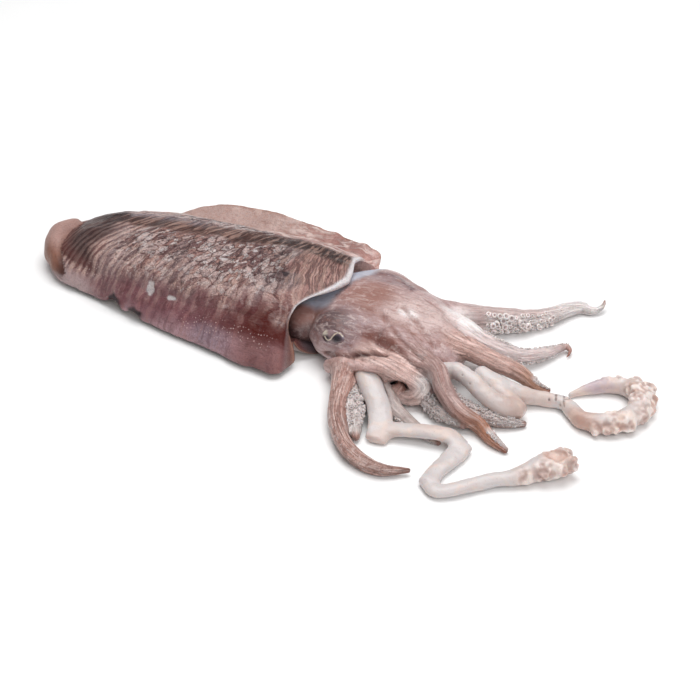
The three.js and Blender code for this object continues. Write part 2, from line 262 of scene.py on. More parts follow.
class Field:
    """A grid of points in a box, on which distances are worked out."""

    def __init__(self, low, high, voxel, far=12.0):
        self.low = np.array(low, float)
        self.voxel = voxel
        self.far = far
        self.axes = [np.arange(a, b, voxel) for a, b in zip(low, high)]
        self.shape = tuple(len(axis) for axis in self.axes)

    def empty(self):
        return np.full(self.shape, self.far, np.float32)

    def window(self, centre, reach):
        """The slices of the grid within reach of a point."""
        first = np.floor((np.array(centre) - reach - self.low) / self.voxel).astype(int)
        last = np.ceil((np.array(centre) + reach - self.low) / self.voxel).astype(int) + 1
        return tuple(slice(max(a, 0), max(b, 0)) for a, b in zip(first, last))

    def tube(self, route, reach=7.0):
        """The distance to a tube's skin, out to a reach from it."""
        least = np.full(self.shape, np.inf, np.float32)
        sample = np.full(self.shape, -1, np.int32)
        for i, centre in enumerate(route.places):
            cut = self.window(centre, max(route.width[i], route.height[i]) + reach)
            x, y, z = (axis[part] - c for axis, part, c in zip(self.axes, cut, centre))
            square = (x**2)[:, None, None] + (y**2)[None, :, None] + (z**2)[None, None, :]
            closer = square < least[cut]
            least[cut][closer] = square[closer]
            sample[cut][closer] = i
        inside = np.nonzero(sample >= 0)
        points = np.stack([axis[i] for axis, i in zip(self.axes, inside)], axis=1)
        values = self.empty()
        distance = route.skin_distance(points, sample[inside])[0]
        values[inside] = np.clip(distance, -self.far, self.far)
        return values

    def tubes(self, routes, soft):
        total = self.empty()
        for route in routes:
            total = smooth_union(total, self.tube(route), soft)
        return total

    def ellipsoid(self, centre, radii, turn=np.eye(3)):
        """The distance to an ellipsoid whose axes are the rows of a turn."""
        values = self.empty()
        cut = self.window(centre, max(radii) + self.far)
        grids = np.meshgrid(*(axis[part] for axis, part in zip(self.axes, cut)), indexing="ij")
        local = (np.stack(grids, axis=-1) - np.array(centre)) @ turn.T
        values[cut] = np.clip(ellipsoid_distance(local, np.array(radii, float)), -self.far, self.far)
        return values

    def mesh(self, values, rounds=2):
        """The largest connected piece of the flesh as points and quads, smoothed a little."""
        grid = openvdb.FloatGrid(float(self.far))
        grid.copyFromArray(np.clip(values, -self.far, self.far).astype(np.float32))
        points, quads = grid.convertToQuads(0.0)
        points, quads = largest_island(points.astype(float) * self.voxel + self.low, quads.astype(int))
        return smoothed(points, quads, rounds), quads


def smooth_union(a, b, soft):
    """The nearer of two fields, rounded where they meet."""
    overlap = np.maximum(soft - np.abs(a - b), 0) / soft
    return np.minimum(a, b) - overlap**2 * soft / 4


# Meshes

def smoothed(points, faces, rounds, share=0.5):
    """Points moved towards the mean of their neighbours along the faces' edges, a few times."""
    here = faces.ravel()
    ahead, behind = (np.roll(faces, turn, axis=1).ravel() for turn in (-1, 1))
    count = 2 * np.bincount(here)[:, None]
    for _ in range(rounds):
        total = np.zeros_like(points)
        np.add.at(total, here, points[ahead] + points[behind])
        points = lerp(points, total / count, share)
    return points


def normals_of(points, quads):
    a, b, c, d = (points[corner] for corner in quads.T)
    slant = np.cross(c - a, d - b)
    total = np.zeros_like(points)
    for corner in quads.T:
        np.add.at(total, corner, slant)
    return total / np.maximum(np.linalg.norm(total, axis=1), 1e-9)[:, None]


def raised(points, quads, relief, floor=TABLE):
    """Points moved out along their normals by a relief, and kept above a floor."""
    return on_table(points + normals_of(points, quads) * relief[:, None], floor)


def largest_island(points, faces):
    """Keeps the largest connected piece of a mesh."""
    label = np.arange(len(points))
    changed = True
    while changed:
        lowest = label[faces].min(axis=1)
        new = label.copy()
        for corner in faces.T:
            np.minimum.at(new, corner, lowest)
        new = new[new]
        changed = not np.array_equal(new, label)
        label = new
    keep = label == np.bincount(label).argmax()
    index = np.cumsum(keep) - 1
    return points[keep], index[faces[keep[faces].all(axis=1)]]


def on_table(points, floor=TABLE):
    """Presses points that are below a floor up to it."""
    return np.column_stack([points[:, :2], np.maximum(points[:, 2], floor)])


def bare_mesh(name, points, faces):
    """A mesh object in metres."""
    mesh = bpy.data.meshes.new(name)
    mesh.from_pydata((np.asarray(points) * MM).tolist(), [], [list(map(int, face)) for face in faces])
    mesh.validate()
    piece = bpy.data.objects.new(name, mesh)
    bpy.context.scene.collection.objects.link(piece)
    return piece


def dress(piece, ground, masks=None, maps=None):
    """Shades a piece smooth, and lays ground colours, masks and flat maps on its points."""
    mesh = piece.data
    mesh.shade_smooth()
    layer = mesh.attributes.new("ground", "FLOAT_COLOR", "POINT")
    rgba = np.column_stack([np.clip(ground, 0, 1), np.ones(len(ground))])
    layer.data.foreach_set("color", rgba.astype(np.float32).ravel())
    for key, values in (masks or {}).items():
        layer = mesh.attributes.new(key, "FLOAT", "POINT")
        layer.data.foreach_set("value", np.asarray(values, np.float32))
    corners = np.zeros(len(mesh.loops), np.int32)
    mesh.loops.foreach_get("vertex_index", corners)
    for key, values in (maps or {}).items():
        layer = mesh.uv_layers.new(name=key)
        layer.data.foreach_set("uv", np.asarray(values, np.float32)[corners].ravel())


def make_mesh(name, points, faces, ground, masks=None, maps=None):
    piece = bare_mesh(name, points, faces)
    dress(piece, ground, masks, maps)
    return piece


def points_of(mesh):
    """A mesh's points in millimetres."""
    flat = np.zeros(3 * len(mesh.vertices), np.float32)
    mesh.vertices.foreach_get("co", flat)
    return flat.reshape(-1, 3) / MM


def nearest(sources, points):
    """For each point, the number of the nearest source."""
    tree = KDTree(len(sources))
    for number, source in enumerate(sources):
        tree.insert(source, number)
    tree.balance()
    return np.array([tree.find(point)[1] for point in points])


def place(piece, node, slot, material):
    """Gives a piece its material and sets it in the frame, in place of a node where one is named."""
    piece.data.materials.clear()
    piece.data.materials.append(material)
    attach(piece, "root")
    if node:
        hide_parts(node)


def closed_grid(rows, around):
    """Quads over a grid of rings."""
    i, j = np.meshgrid(np.arange(rows - 1), np.arange(around), indexing="ij")
    k = (j + 1) % around
    corners = [i * around + j, i * around + k, (i + 1) * around + k, (i + 1) * around + j]
    return np.stack(corners, axis=-1).reshape(-1, 4)


def with_ends(rings):
    """A grid of rings as a list of points, followed by the middles of its two end rings."""
    return np.vstack([rings.reshape(-1, 3), rings[0].mean(0), rings[-1].mean(0)])


def closed_faces(rows, around):
    """All the faces over a grid of rings and over its two ends, whose points follow the rings'."""
    here = np.arange(around)
    ahead = (here + 1) % around
    last_ring = (rows - 1) * around
    start_fan = [np.full(around, rows * around), ahead, here]
    end_fan = [np.full(around, rows * around + 1), last_ring + here, last_ring + ahead]
    fans = np.hstack([start_fan, end_fan]).T
    return [*closed_grid(rows, around).tolist(), *fans.tolist()]


# Materials

# Sockets of the colour mixing node, which has sockets of the same name for other kinds of value.
MIX_AMOUNT, MIX_FIRST, MIX_SECOND, MIX_RESULT = 0, 6, 7, 2
# The period of a wave texture whose scale is 1.
WAVE_PERIOD = math.pi / 10


class Paint:
    """Lays out one node material round a principled shader."""

    def __init__(self, name, **sockets):
        self.material = bpy.data.materials.new(name)
        self.material.use_nodes = True
        self.tree = self.material.node_tree
        self.tree.nodes.clear()
        output = self.add("OutputMaterial")
        self.shader = self.add("BsdfPrincipled", **sockets)
        self.tree.links.new(self.shader.outputs[0], output.inputs["Surface"])

    def add(self, kind, settings=None, **sockets):
        """A node of a kind with its settings, and values or links for its sockets by name."""
        node = self.tree.nodes.new(f"ShaderNode{kind}")
        for name, value in (settings or {}).items():
            setattr(node, name, value)
        for name, value in sockets.items():
            self.feed(node.inputs[name.replace("_", " ")], value)
        return node

    def feed(self, socket, value):
        if isinstance(value, bpy.types.NodeSocket):
            self.tree.links.new(value, socket)
        elif isinstance(value, np.ndarray):
            socket.default_value = (*value, 1.0)
        else:
            socket.default_value = value

    def attribute(self, name, output="Fac"):
        return self.add("Attribute", {"attribute_name": name}).outputs[output]

    def flat_map(self, name, scale=(1, 1, 1)):
        """A flat map's coordinates, scaled."""
        return self.scaled(self.add("UVMap", {"uv_map": name}).outputs[0], scale)

    def place(self, scale=(1, 1, 1)):
        """The place on the object in centimetres, scaled."""
        return self.scaled(self.add("TexCoord").outputs["Object"], [CM_PER_M * s for s in scale])

    def scaled(self, vector, scale):
        node = self.add("VectorMath", {"operation": "MULTIPLY"}, Vector=vector)
        node.inputs[1].default_value = scale
        return node.outputs[0]

    def noise(self, vector, scale, detail=3.0, roughness=0.5, distortion=0.0):
        node = self.add("TexNoise", Vector=vector, Scale=scale, Detail=detail, Roughness=roughness,
                        Distortion=distortion)
        return node.outputs["Fac"]

    def waves(self, vector, period, distortion, detail=3.0, detail_scale=1.0):
        """Wavering bands across the first axis, from 0 to 1 and back over each period."""
        node = self.add("TexWave", Vector=vector, Scale=WAVE_PERIOD / period, Distortion=distortion,
                        Detail=detail, Detail_Scale=detail_scale)
        return node.outputs["Fac"]

    def cells(self, vector, scale, randomness=1.0):
        """The distance to the nearest of scattered points."""
        node = self.add("TexVoronoi", Vector=vector, Scale=scale, Randomness=randomness)
        return node.outputs["Distance"]

    def mosaic(self, vector, scale):
        """A random value for each of scattered flat cells, and the distance to the cracks between them."""
        kinds = ({"voronoi_dimensions": "2D", "feature": feature} for feature in ("F1", "DISTANCE_TO_EDGE"))
        cell, crack = (self.add("TexVoronoi", kind, Vector=vector, Scale=scale) for kind in kinds)
        parts = self.add("SeparateColor", Color=cell.outputs["Color"])
        return parts.outputs[0], crack.outputs["Distance"]

    def warped(self, vector, scale, amount):
        """A vector pushed about by a noise, for swirls."""
        drift = self.add("TexNoise", Vector=vector, Scale=scale, Detail=2.0)
        node = self.add("VectorMath", {"operation": "MULTIPLY_ADD"}, Vector=drift.outputs["Color"])
        node.inputs[1].default_value = (amount, amount, amount)
        self.tree.links.new(vector, node.inputs[2])
        return node.outputs[0]

    def vein(self, value, width):
        """1 along the lines where a noise passes through its middle value."""
        off = self.math("ABSOLUTE", self.math("SUBTRACT", value, 0.5), 0.0)
        return self.step(off, width, width * 0.3)

    def step(self, value, low, high):
        """Goes smoothly from 0 at low to 1 at high."""
        smooth = {"interpolation_type": "SMOOTHSTEP"}
        return self.add("MapRange", smooth, Value=value, From_Min=low, From_Max=high).outputs[0]

    def math(self, operation, a, b):
        node = self.add("Math", {"operation": operation})
        self.feed(node.inputs[0], a)
        self.feed(node.inputs[1], b)
        return node.outputs[0]

    def times(self, first, *others):
        for other in others:
            first = self.math("MULTIPLY", first, other)
        return first

    def total(self, *products):
        """The sum of the products of a few lists of factors."""
        result, *others = [self.times(*factors) for factors in products]
        for other in others:
            result = self.math("ADD", result, other)
        return result

    def over(self, ground, colour, *amounts):
        """A colour laid over the ground by the product of the amounts."""
        node = self.add("Mix", {"data_type": "RGBA"})
        self.feed(node.inputs[MIX_AMOUNT], self.times(*amounts))
        self.feed(node.inputs[MIX_FIRST], ground)
        self.feed(node.inputs[MIX_SECOND], colour)
        return node.outputs[MIX_RESULT]

    def layers(self, *rows):
        """The ground colours with more colours laid over them, each by the product of its amounts."""
        result = self.attribute("ground", "Color")
        for shade, *amounts in rows:
            result = self.over(result, rgb(*shade), *amounts)
        return result

    def finish(self, colour, roughness, height, depth):
        """Feeds the shader: colour, roughness, and relief of a depth in metres."""
        self.feed(self.shader.inputs["Base Color"], colour)
        self.feed(self.shader.inputs["Roughness"], roughness)
        relief = self.add("Bump", Height=height, Distance=depth)
        self.feed(self.shader.inputs["Normal"], relief.outputs[0])
        return self.material


WET = {
    "Subsurface_Weight": 0.15, "Subsurface_Scale": 0.003, "Specular_IOR_Level": 0.28, "Coat_Weight": 0.22,
    "Coat_Roughness": 0.12,
}
FLESH_RADIUS = (1.0, 0.5, 0.35)


def wet_paint(name, **sockets):
    paint = Paint(name, **{**WET, **sockets})
    paint.shader.inputs["Subsurface Radius"].default_value = FLESH_RADIUS
    return paint


MANTLE_MASKS = ("zebra", "cells", "streaks", "side", "dotted", "grainy", "folded")


def mantle_material():
    """Mottled skin: combed bars behind, a mosaic of pale cells in the middle, streaks along the ridge."""
    paint = wet_paint("mantle_skin", Specular_IOR_Level=0.13, Coat_Weight=0.08)
    step = paint.step
    flat = paint.flat_map("skin")
    spot = paint.place()
    skin = paint.warped(flat, 1.3, 0.35)
    ragged = paint.warped(paint.warped(flat, 1.1, 0.5), 6.0, 0.12)
    bars = paint.waves(paint.warped(skin, 0.6, 0.5), 0.56, 3.0, 3, 1.1)
    combed = paint.noise(paint.scaled(skin, (3.4, 0.5, 1)), 1.0, 3, 0.55, 0.3)
    patch, border = paint.mosaic(paint.scaled(ragged, (1, 0.55, 1)), 2.0)
    chip, crack = paint.mosaic(paint.scaled(ragged, (1, 0.6, 1)), 4.8)
    swirls = paint.noise(skin, 2.6, 5, 0.62, 1.2)
    patches = paint.noise(skin, 0.8, 3, 0.55, 0.5)
    folds = paint.noise(paint.scaled(skin, (0.5, 2.4, 1)), 1.0, 4, 0.55, 0.6)
    veins = paint.vein(paint.noise(spot, 2.4, 4, 0.6, 1.4), 0.035)
    lines = paint.vein(paint.noise(paint.scaled(skin, (6.4, 0.6, 1)), 1.0, 3, 0.55, 0.4), 0.09)
    grit = paint.noise(spot, 6.5, 4, 0.65, 0.6)
    grain = paint.noise(spot, 13, 4, 0.6)
    glints = step(paint.cells(flat, 3.4), 0.12, 0.07)
    specks = step(paint.cells(spot, 3.8, 0.9), 0.14, 0.08)
    dots = step(paint.cells(spot, 5.4, 0.6), 0.28, 0.17)
    zebra, cells, streaks, side, dotted, grainy, folded = map(paint.attribute, MANTLE_MASKS)
    mottled = paint.math("MAXIMUM", zebra, cells)
    colour = paint.layers(
        ((98, 70, 74), step(swirls, 0.5, 0.36), zebra, 0.5),
        ((220, 188, 177), step(bars, 0.25, 0.68), zebra, step(combed, 0.3, 0.5), 0.85),
        ((92, 62, 62), step(bars, 0.22, 0.03), zebra, 0.55),
        ((206, 180, 170), step(combed, 0.58, 0.68), zebra, 0.45),
        ((84, 58, 60), step(combed, 0.42, 0.32), zebra, 0.25),
        ((92, 64, 68), step(swirls, 0.49, 0.38), cells, 0.6),
        ((184, 138, 126), step(patches, 0.48, 0.6), cells, 0.6),
        ((104, 74, 76), step(patch, 0.34, 0.26), cells, 0.6),
        ((206, 182, 178), step(patch, 0.54, 0.62), cells, step(border, 0.02, 0.1), 0.85),
        ((66, 44, 48), step(border, 0.06, 0.015), cells, step(swirls, 0.42, 0.52), 0.7),
        ((216, 204, 202), step(chip, 0.74, 0.8), cells, step(crack, 0.03, 0.12), 0.75),
        ((64, 44, 48), step(chip, 0.2, 0.14), cells, step(crack, 0.02, 0.1), 0.65),
        ((74, 48, 52), step(grit, 0.47, 0.37), mottled, 0.55),
        ((206, 190, 188), step(grit, 0.56, 0.66), mottled, 0.5),
        ((54, 38, 44), veins, cells, step(patches, 0.42, 0.52), 0.85),
        ((92, 54, 60), step(swirls, 0.5, 0.34), side, 0.35),
        ((154, 112, 116), step(swirls, 0.54, 0.7), side, 0.35),
        ((86, 46, 50), step(combed, 0.48, 0.34), side, 0.4),
        ((166, 118, 114), step(combed, 0.54, 0.68), side, 0.35),
        ((44, 30, 32), lines, streaks, 0.7),
        ((190, 154, 142), step(combed, 0.5, 0.6), streaks, 0.6),
        # Painted glints: tiny white highlights on the pale cells.
        ((228, 220, 222), glints, cells, step(patches, 0.48, 0.58)),
        ((48, 34, 38), specks, cells, 0.8),
        ((206, 176, 172), dots, dotted, 0.75),
        ((92, 62, 62), step(grain, 0.5, 0.38), 0.3),
        ((164, 122, 108), step(swirls, 0.5, 0.38), grainy, 0.35),
        ((216, 190, 182), step(patches, 0.52, 0.64), grainy, 0.4),
        ((166, 112, 104), step(folds, 0.49, 0.42), folded, 0.5),
        ((230, 208, 202), step(folds, 0.51, 0.59), folded, 0.65),
    )
    height = paint.total(
        (folds, folded, 3.0), (lines, streaks, -0.8), (bars, zebra, 0.9), (grain, 0.5), (swirls, 1.4),
        (step(border, 0.0, 0.14), cells, 1.2), (step(crack, 0.0, 0.14), cells, 0.5),
    )
    return paint.finish(colour, paint.total((swirls, 0.3), (0.2,)), height, 0.0009)


def flesh_material():
    """Head and arms: pink brown skin with pale streaks that run to the arm tips."""
    paint = wet_paint("arm_flesh")
    step = paint.step
    arm, strength = paint.attribute("arm"), paint.attribute("streaks")
    off_arms = paint.math("SUBTRACT", 1.0, arm)
    head_streaks = paint.noise(paint.place((0.7, 3.2, 3.2)), 1.0, 5, 0.62, 0.8)
    arm_streaks = paint.noise(paint.flat_map("arm_map", (4.0, 0.2, 1)), 1.0, 3, 0.5, 0.5)
    streaks = paint.total((head_streaks, off_arms), (arm_streaks, arm))
    arm_lines = paint.noise(paint.flat_map("arm_map", (9.0, 0.6, 1)), 1.0, 2, 0.5, 0.6)
    wrinkles = paint.times(paint.vein(arm_lines, 0.06), arm)
    hairs = paint.noise(paint.place((1.2, 6.5, 6.5)), 1.0, 3, 0.6, 0.6)
    blotches = paint.noise(paint.place(), 2.2, 4, 0.6, 0.8)
    grain = paint.noise(paint.place(), 9, 4, 0.6)
    freckles = paint.cells(paint.place(), 4.2)
    mottle = paint.total((strength, 0.6), (0.06,))
    colour = paint.layers(
        ((136, 92, 80), step(streaks, 0.5, 0.34), strength, 0.65),
        ((222, 200, 194), step(streaks, 0.52, 0.66), strength, 0.75),
        ((124, 82, 74), step(hairs, 0.45, 0.35), off_arms, strength, 0.6),
        ((228, 208, 204), step(hairs, 0.57, 0.67), off_arms, strength, 0.35),
        ((126, 84, 76), wrinkles, strength, 0.45),
        ((232, 207, 199), step(arm_lines, 0.55, 0.63), arm, strength, 0.6),
        ((226, 204, 200), step(blotches, 0.56, 0.68), mottle),
        ((150, 106, 96), step(blotches, 0.46, 0.34), mottle),
        ((116, 82, 78), step(grain, 0.46, 0.32), mottle),
        ((110, 66, 58), step(freckles, 0.16, 0.09), mottle),
    )
    height = paint.total((streaks, strength, 1.6), (grain, 0.5), (wrinkles, -0.5))
    return paint.finish(colour, paint.total((grain, 0.3), (0.2,)), height, 0.0008)


def tentacle_material():
    """Smooth ivory flesh, peach where it is thin or folded."""
    paint = wet_paint("tentacle_flesh", Subsurface_Weight=0.3)
    cloud = paint.noise(paint.place(), 1.3, 3, 0.5, 0.5)
    grain = paint.noise(paint.place(), 12, 3)
    specks = paint.cells(paint.place(), 2.6)
    colour = paint.layers(
        ((222, 198, 184), paint.step(cloud, 0.48, 0.72), 0.5),
        ((176, 140, 128), paint.step(grain, 0.4, 0.28), 0.3),
        ((150, 112, 98), paint.step(specks, 0.1, 0.05), 0.3),
    )
    height = paint.total((cloud,), (grain, 0.3))
    return paint.finish(colour, paint.total((grain, 0.2), (0.22,)), height, 0.0005)


def sucker_material():
    """Pale rings with a greyer hollow."""
    paint = wet_paint("sucker_flesh", Subsurface_Weight=0.2)
    grain = paint.noise(paint.place(), 9, 3)
    colour = paint.layers(((128, 106, 100), paint.step(grain, 0.5, 0.34), 0.5))
    return paint.finish(colour, paint.total((grain, 0.2), (0.25,)), grain, 0.0003)


def eye_material():
    """A wet lens with a curved dark pupil."""
    paint = wet_paint("eye", Coat_Weight=0.8, Coat_Roughness=0.06)
    grain = paint.noise(paint.place(), 9, 4, 0.6)
    colour = paint.layers(((110, 84, 84), paint.step(grain, 0.48, 0.34), 0.35))
    return paint.finish(colour, paint.total((grain, 0.2), (0.14,)), grain, 0.0002)


# Mantle

# Sizes in millimetres, and how finely the mesh is divided along the mantle and round it.
MANTLE = {
    "tail": -113, "length": 204, "right": 48, "left": 43, "height": 41, "ridge_aside": 5, "fin_reach": 70,
    "fin_thickness": 3.6, "fin_edge": 2, "wall": 5, "pocket_floor": 4, "pocket_end": 61.6,
}
MANTLE_ROWS = {"tail": 26, "body": 200, "rim": 7, "pocket": 24}
GIRTH_ROWS = {"belly": 18, "under": 26, "top": 40, "dome": 84}
# How many equal steps round half the girth each of those stretches takes. The fin's edge follows two.
GIRTH_SHARES = {"belly": 5, "under": 4, "top": 4, "dome": 7}
GIRTH_STEPS = sum(GIRTH_SHARES.values())
FIN_EDGE = (GIRTH_SHARES["belly"] + GIRTH_SHARES["under"]) / GIRTH_STEPS
# Shares: the tail's of the length, the flat belly's of its stretch, and the pocket's at its inner end.
TAIL_SHARE = 0.14
FLAT_BELLY = 0.4
POCKET_NARROWING = 0.86
POCKET_MIDDLE = 0.45
# The share of the pocket's depth over which the lip thickens into the wall.
LIP_DEPTH = 0.25
# How the rings crowd towards the tail's end and the pocket's mouth, as powers.
CROWDING = {"tail": 1.5, "pocket": 1.3}
# How the fin bends down and how full the sections are, as powers.
FIN_DROOP = 1.3
FULLNESS = 0.9
# How far the near flank is filled out towards one round curve from the ridge to the fin's edge.
FLANK_FILL = 0.85
FLANK_POWER = 1.6
# How closely the lip's fall keeps to the front end of the mantle.
LIP_DRAW = 5
SMOOTHING_ROUNDS = 3
# Layers of relief: height, size of the features and seed. The far fin's front has folds of its own.
MANTLE_RELIEF = [(0.9, 17, 21), (0.5, 7, 22), (0.22, 3, 23)]
FIN_FOLDS = [(1.8, (7, 24, 9), 25)]
FIN_FOLDS_START = {"along": (35, 60), "down": (38, 50)}
LOBE_RELIEF = [(0.6, 7, 24)]
# Shares of half the girth between which the relief begins, above the smooth belly.
RELIEF_START = (0.3, 0.5)
# Rows before the lip's edge over which the skin turns into the rim, and half width of the line there.
RIM_FADE = 4
LIP_LINE = 1.4
# The lobe's mesh: spacing of its rings, points in each, rounding of its ends, and height off the table.
LOBE = {"spacing": 1.0, "around": 44, "rounding": 4, "lift": 0.2}

# Curves along the mantle, from 0 at the tail to 1 at the lip: shares of a size, and heights in millimetres.
dorsum_width = profile(
    (0, 0.14), (0.015, 0.3), (0.05, 0.45), (0.12, 0.62), (0.25, 0.79), (0.45, 0.93), (0.68, 1), (0.88, 1),
    (1, 0.96),
)
ridge_height = profile(
    (0, 0.37), (0.015, 0.4), (0.04, 0.43), (0.08, 0.57), (0.14, 0.71), (0.22, 0.81), (0.36, 0.9),
    (0.6, 0.96), (0.8, 0.99), (0.9, 0.965), (1, 0.89),
)
belly_height = profile((0, 9), (0.03, 5), (0.08, 1.5), (0.16, 0), (1, 0))
fin_root_height = profile((0, 11), (0.1, 11), (0.25, 13), (1, 13))
fin_reach = {
    "right": profile(
        (0, 0.12), (0.015, 0.28), (0.05, 0.44), (0.11, 0.54), (0.26, 0.62), (0.44, 0.75), (0.66, 0.87),
        (0.86, 0.97), (0.95, 1), (0.985, 0.95), (1, 0.74),
    ),
    "left": profile(
        (0, 0.12), (0.015, 0.24), (0.05, 0.34), (0.12, 0.45), (0.25, 0.7), (0.4, 0.94), (0.55, 0.98),
        (0.7, 0.95), (0.88, 0.89), (0.95, 0.84), (0.98, 0.77), (1, 0.63),
    ),
}
fin_edge_height = {
    "right": profile(
        (0, 11), (0.05, 4), (0.1, 1.2), (0.28, 1.2), (0.34, 6), (0.375, 2), (0.415, 5.5), (0.46, 1), (0.7, 1),
        (1, 2),
    ),
    "left": profile(
        (0, 12), (0.1, 8), (0.22, 11), (0.34, 18.5), (0.45, 21), (0.6, 21), (0.8, 19.5), (1, 18),
    ),
}
# Curves round half the girth, from 0 under the belly to 1 at the ridge. How far back the lip falls:
lip_fall = {
    "right": profile(
        (0, 5), (0.05, 1), (0.1, 0), (0.15, 3), (0.2, 9), (0.27, 13), (0.45, 9), (0.6, 14), (0.66, 16),
        (0.75, 17), (0.8, 16.5), (0.85, 13), (0.9, 7), (0.95, 2.5), (1, 0),
    ),
    "left": profile(
        (0, 5), (0.05, 1), (0.1, 0), (0.15, 5), (0.2, 9), (0.3, 7), (0.45, 3), (0.65, 7), (0.75, 10),
        (0.85, 9), (0.9, 6), (0.95, 2.5), (1, 0),
    ),
}
# The lip is fleshy over the back and thin at the sides.
lip_thickness = profile((0, 2.4), (0.5, 2.2), (0.68, 2.8), (0.8, 3.8), (1, 4.4))
# How far back the pocket starts behind the near lip, whose edge is thin there.
lip_recess = profile((0, 2), (0.3, 8), (0.45, 14), (0.65, 14), (0.8, 6), (0.9, 0), (1, 0))
# Where the tail's lobe is joined on, the points near sharp edges are relaxed.
SEAM = {"angle": math.radians(30), "front": -80, "reach": 4, "rounds": 12, "share": 0.5}
# Stops of the tail's lobe: place, half width and half height.
TAIL_LOBE = [
    (-86, -36, 5, 3, 4), (-97, -29, 8, 5, 7), (-106, -19, 11, 7.5, 10), (-110.5, -8, 12.5, 8.5, 11),
    (-109, 2, 12.5, 7.5, 10), (-105, 8, 10, 6, 7), (-98, 13, 8, 3.4, 4),
]


def girth_steps():
    """Places in each stretch of half the girth, and their shares of it from belly to ridge."""
    places, shares, start = {}, [], 0
    for key, rows in GIRTH_ROWS.items():
        count = rows + 1 if key == "dome" else rows
        places[key] = np.arange(count) / rows
        shares.append((start + GIRTH_SHARES[key] * places[key]) / GIRTH_STEPS)
        start += GIRTH_SHARES[key]
    return places, np.concatenate(shares)


def half_section(share, side, places):
    """Half of each section of the mantle: distance from the axis and height, from belly to ridge."""
    share = share[:, None]
    root = MANTLE[side] * dorsum_width(share)
    reach = np.maximum(MANTLE["fin_reach"] * fin_reach[side](share), root + 1)
    lean = MANTLE["ridge_aside"] * np.minimum(1, share / TAIL_SHARE)
    aside = lean if side == "right" else -lean
    root_bottom = fin_root_height(share)
    root_top = root_bottom + MANTLE["fin_thickness"]
    edge = fin_edge_height[side](share)
    ridge = MANTLE["height"] * ridge_height(share)
    belly, under, top, dome = (places[key][None, :] for key in GIRTH_ROWS)
    rise = np.maximum(0, belly - FLAT_BELLY) / (1 - FLAT_BELLY)
    angle = dome * np.pi / 2
    across = np.hstack([
        root * np.sin(belly * np.pi / 2),
        lerp(root, reach, under),
        lerp(reach, root, top),
        lerp(aside, root, np.cos(angle)),
    ])
    height = np.hstack([
        lerp(belly_height(share), root_bottom, rise**2),
        lerp(root_bottom, edge, under**FIN_DROOP),
        lerp(root_top, edge + MANTLE["fin_edge"], (1 - top)**FIN_DROOP),
        lerp(root_top, ridge, np.sin(angle)**FULLNESS),
    ])
    if side == "right":
        hem = edge + MANTLE["fin_edge"]
        out = np.clip((across - aside) / (reach - aside), 0, 1)
        full = hem + (ridge - hem) * (1 - out**FLANK_POWER)**(1 / FLANK_POWER)
        above = np.arange(across.shape[1]) >= GIRTH_ROWS["belly"] + GIRTH_ROWS["under"]
        height = np.where(above, np.maximum(height, lerp(height, full, FLANK_FILL)), height)
    return across, height


def half_pocket(depth, side, girth):
    """Half of each section of the pocket's inner wall, row for row like the half section."""
    depth, girth = depth[:, None], girth[None, :]
    thickness = lerp(lip_thickness(girth), MANTLE["wall"], np.minimum(1, depth / LIP_DEPTH))
    narrowing = lerp(1, POCKET_NARROWING, depth)
    width = (MANTLE[side] * dorsum_width(1) - thickness) * narrowing
    top = (MANTLE["height"] * ridge_height(1) - thickness) * narrowing
    floor = MANTLE["pocket_floor"]
    middle = lerp(floor, top, POCKET_MIDDLE)
    angle = (girth - 0.5) * np.pi
    lean = MANTLE["ridge_aside"] if side == "right" else -MANTLE["ridge_aside"]
    aside = np.where(angle < 0, 0, lean)
    end = np.where(angle < 0, floor, top)
    across = lerp(aside, width, np.maximum(np.cos(angle), 0)**FULLNESS)
    return across, lerp(middle, end, np.abs(np.sin(angle))**FULLNESS)


def sleeve():
    """The mantle's rings from the tail over the lip and back into the pocket, as a grid of points."""
    places, girth = girth_steps()
    front = MANTLE["tail"] + MANTLE["length"]
    tail = TAIL_SHARE * (np.arange(MANTLE_ROWS["tail"]) / MANTLE_ROWS["tail"])**CROWDING["tail"]
    share = np.concatenate([tail, np.linspace(TAIL_SHARE, 1, MANTLE_ROWS["body"] + 1)])
    depth = np.linspace(0, 1, MANTLE_ROWS["pocket"] + 1)**CROWDING["pocket"]
    halves = {}
    for side, sign in (("left", 1), ("right", -1)):
        fall = lip_fall[side](girth)
        across, height = half_section(share, side, places)
        x = lerp(MANTLE["tail"], front, share)[:, None] - fall[None, :] * share[:, None]**LIP_DRAW
        outer = np.stack([x, sign * across, height], axis=2)
        across, height = half_pocket(depth, side, girth)
        mouth = front - fall - (lip_recess(girth) if side == "right" else 0)
        x = lerp(mouth[None, :], MANTLE["pocket_end"], depth[:, None])
        inner = np.stack([x, sign * across, height], axis=2)
        turn = np.pi * (np.arange(MANTLE_ROWS["rim"]) + 1)[:, None] / (MANTLE_ROWS["rim"] + 1)
        rim = lerp(outer[-1:], inner[:1], ((1 - np.cos(turn)) / 2)[:, :, None])
        rim[:, :, 0] += lip_thickness(girth)[None, :] / 2 * np.sin(turn)
        halves[side] = np.concatenate([outer, rim, inner])
    ring = np.concatenate([halves["left"], halves["right"][:, -2:0:-1]], axis=1)
    girth_ring = np.concatenate([girth, girth[-2:0:-1]])
    is_right = np.arange(ring.shape[1]) >= len(girth)
    return ring, girth_ring, is_right, len(share)


# How far a bar leans back as it runs down the side, along the mantle.
bar_lean = profile((-113, 0.7), (-50, 0.6), (0, 0.4), (45, 0.1), (70, -0.25), (91, -0.5))
# The distance down the side over which that lean dies away.
LEAN_REACH = 45

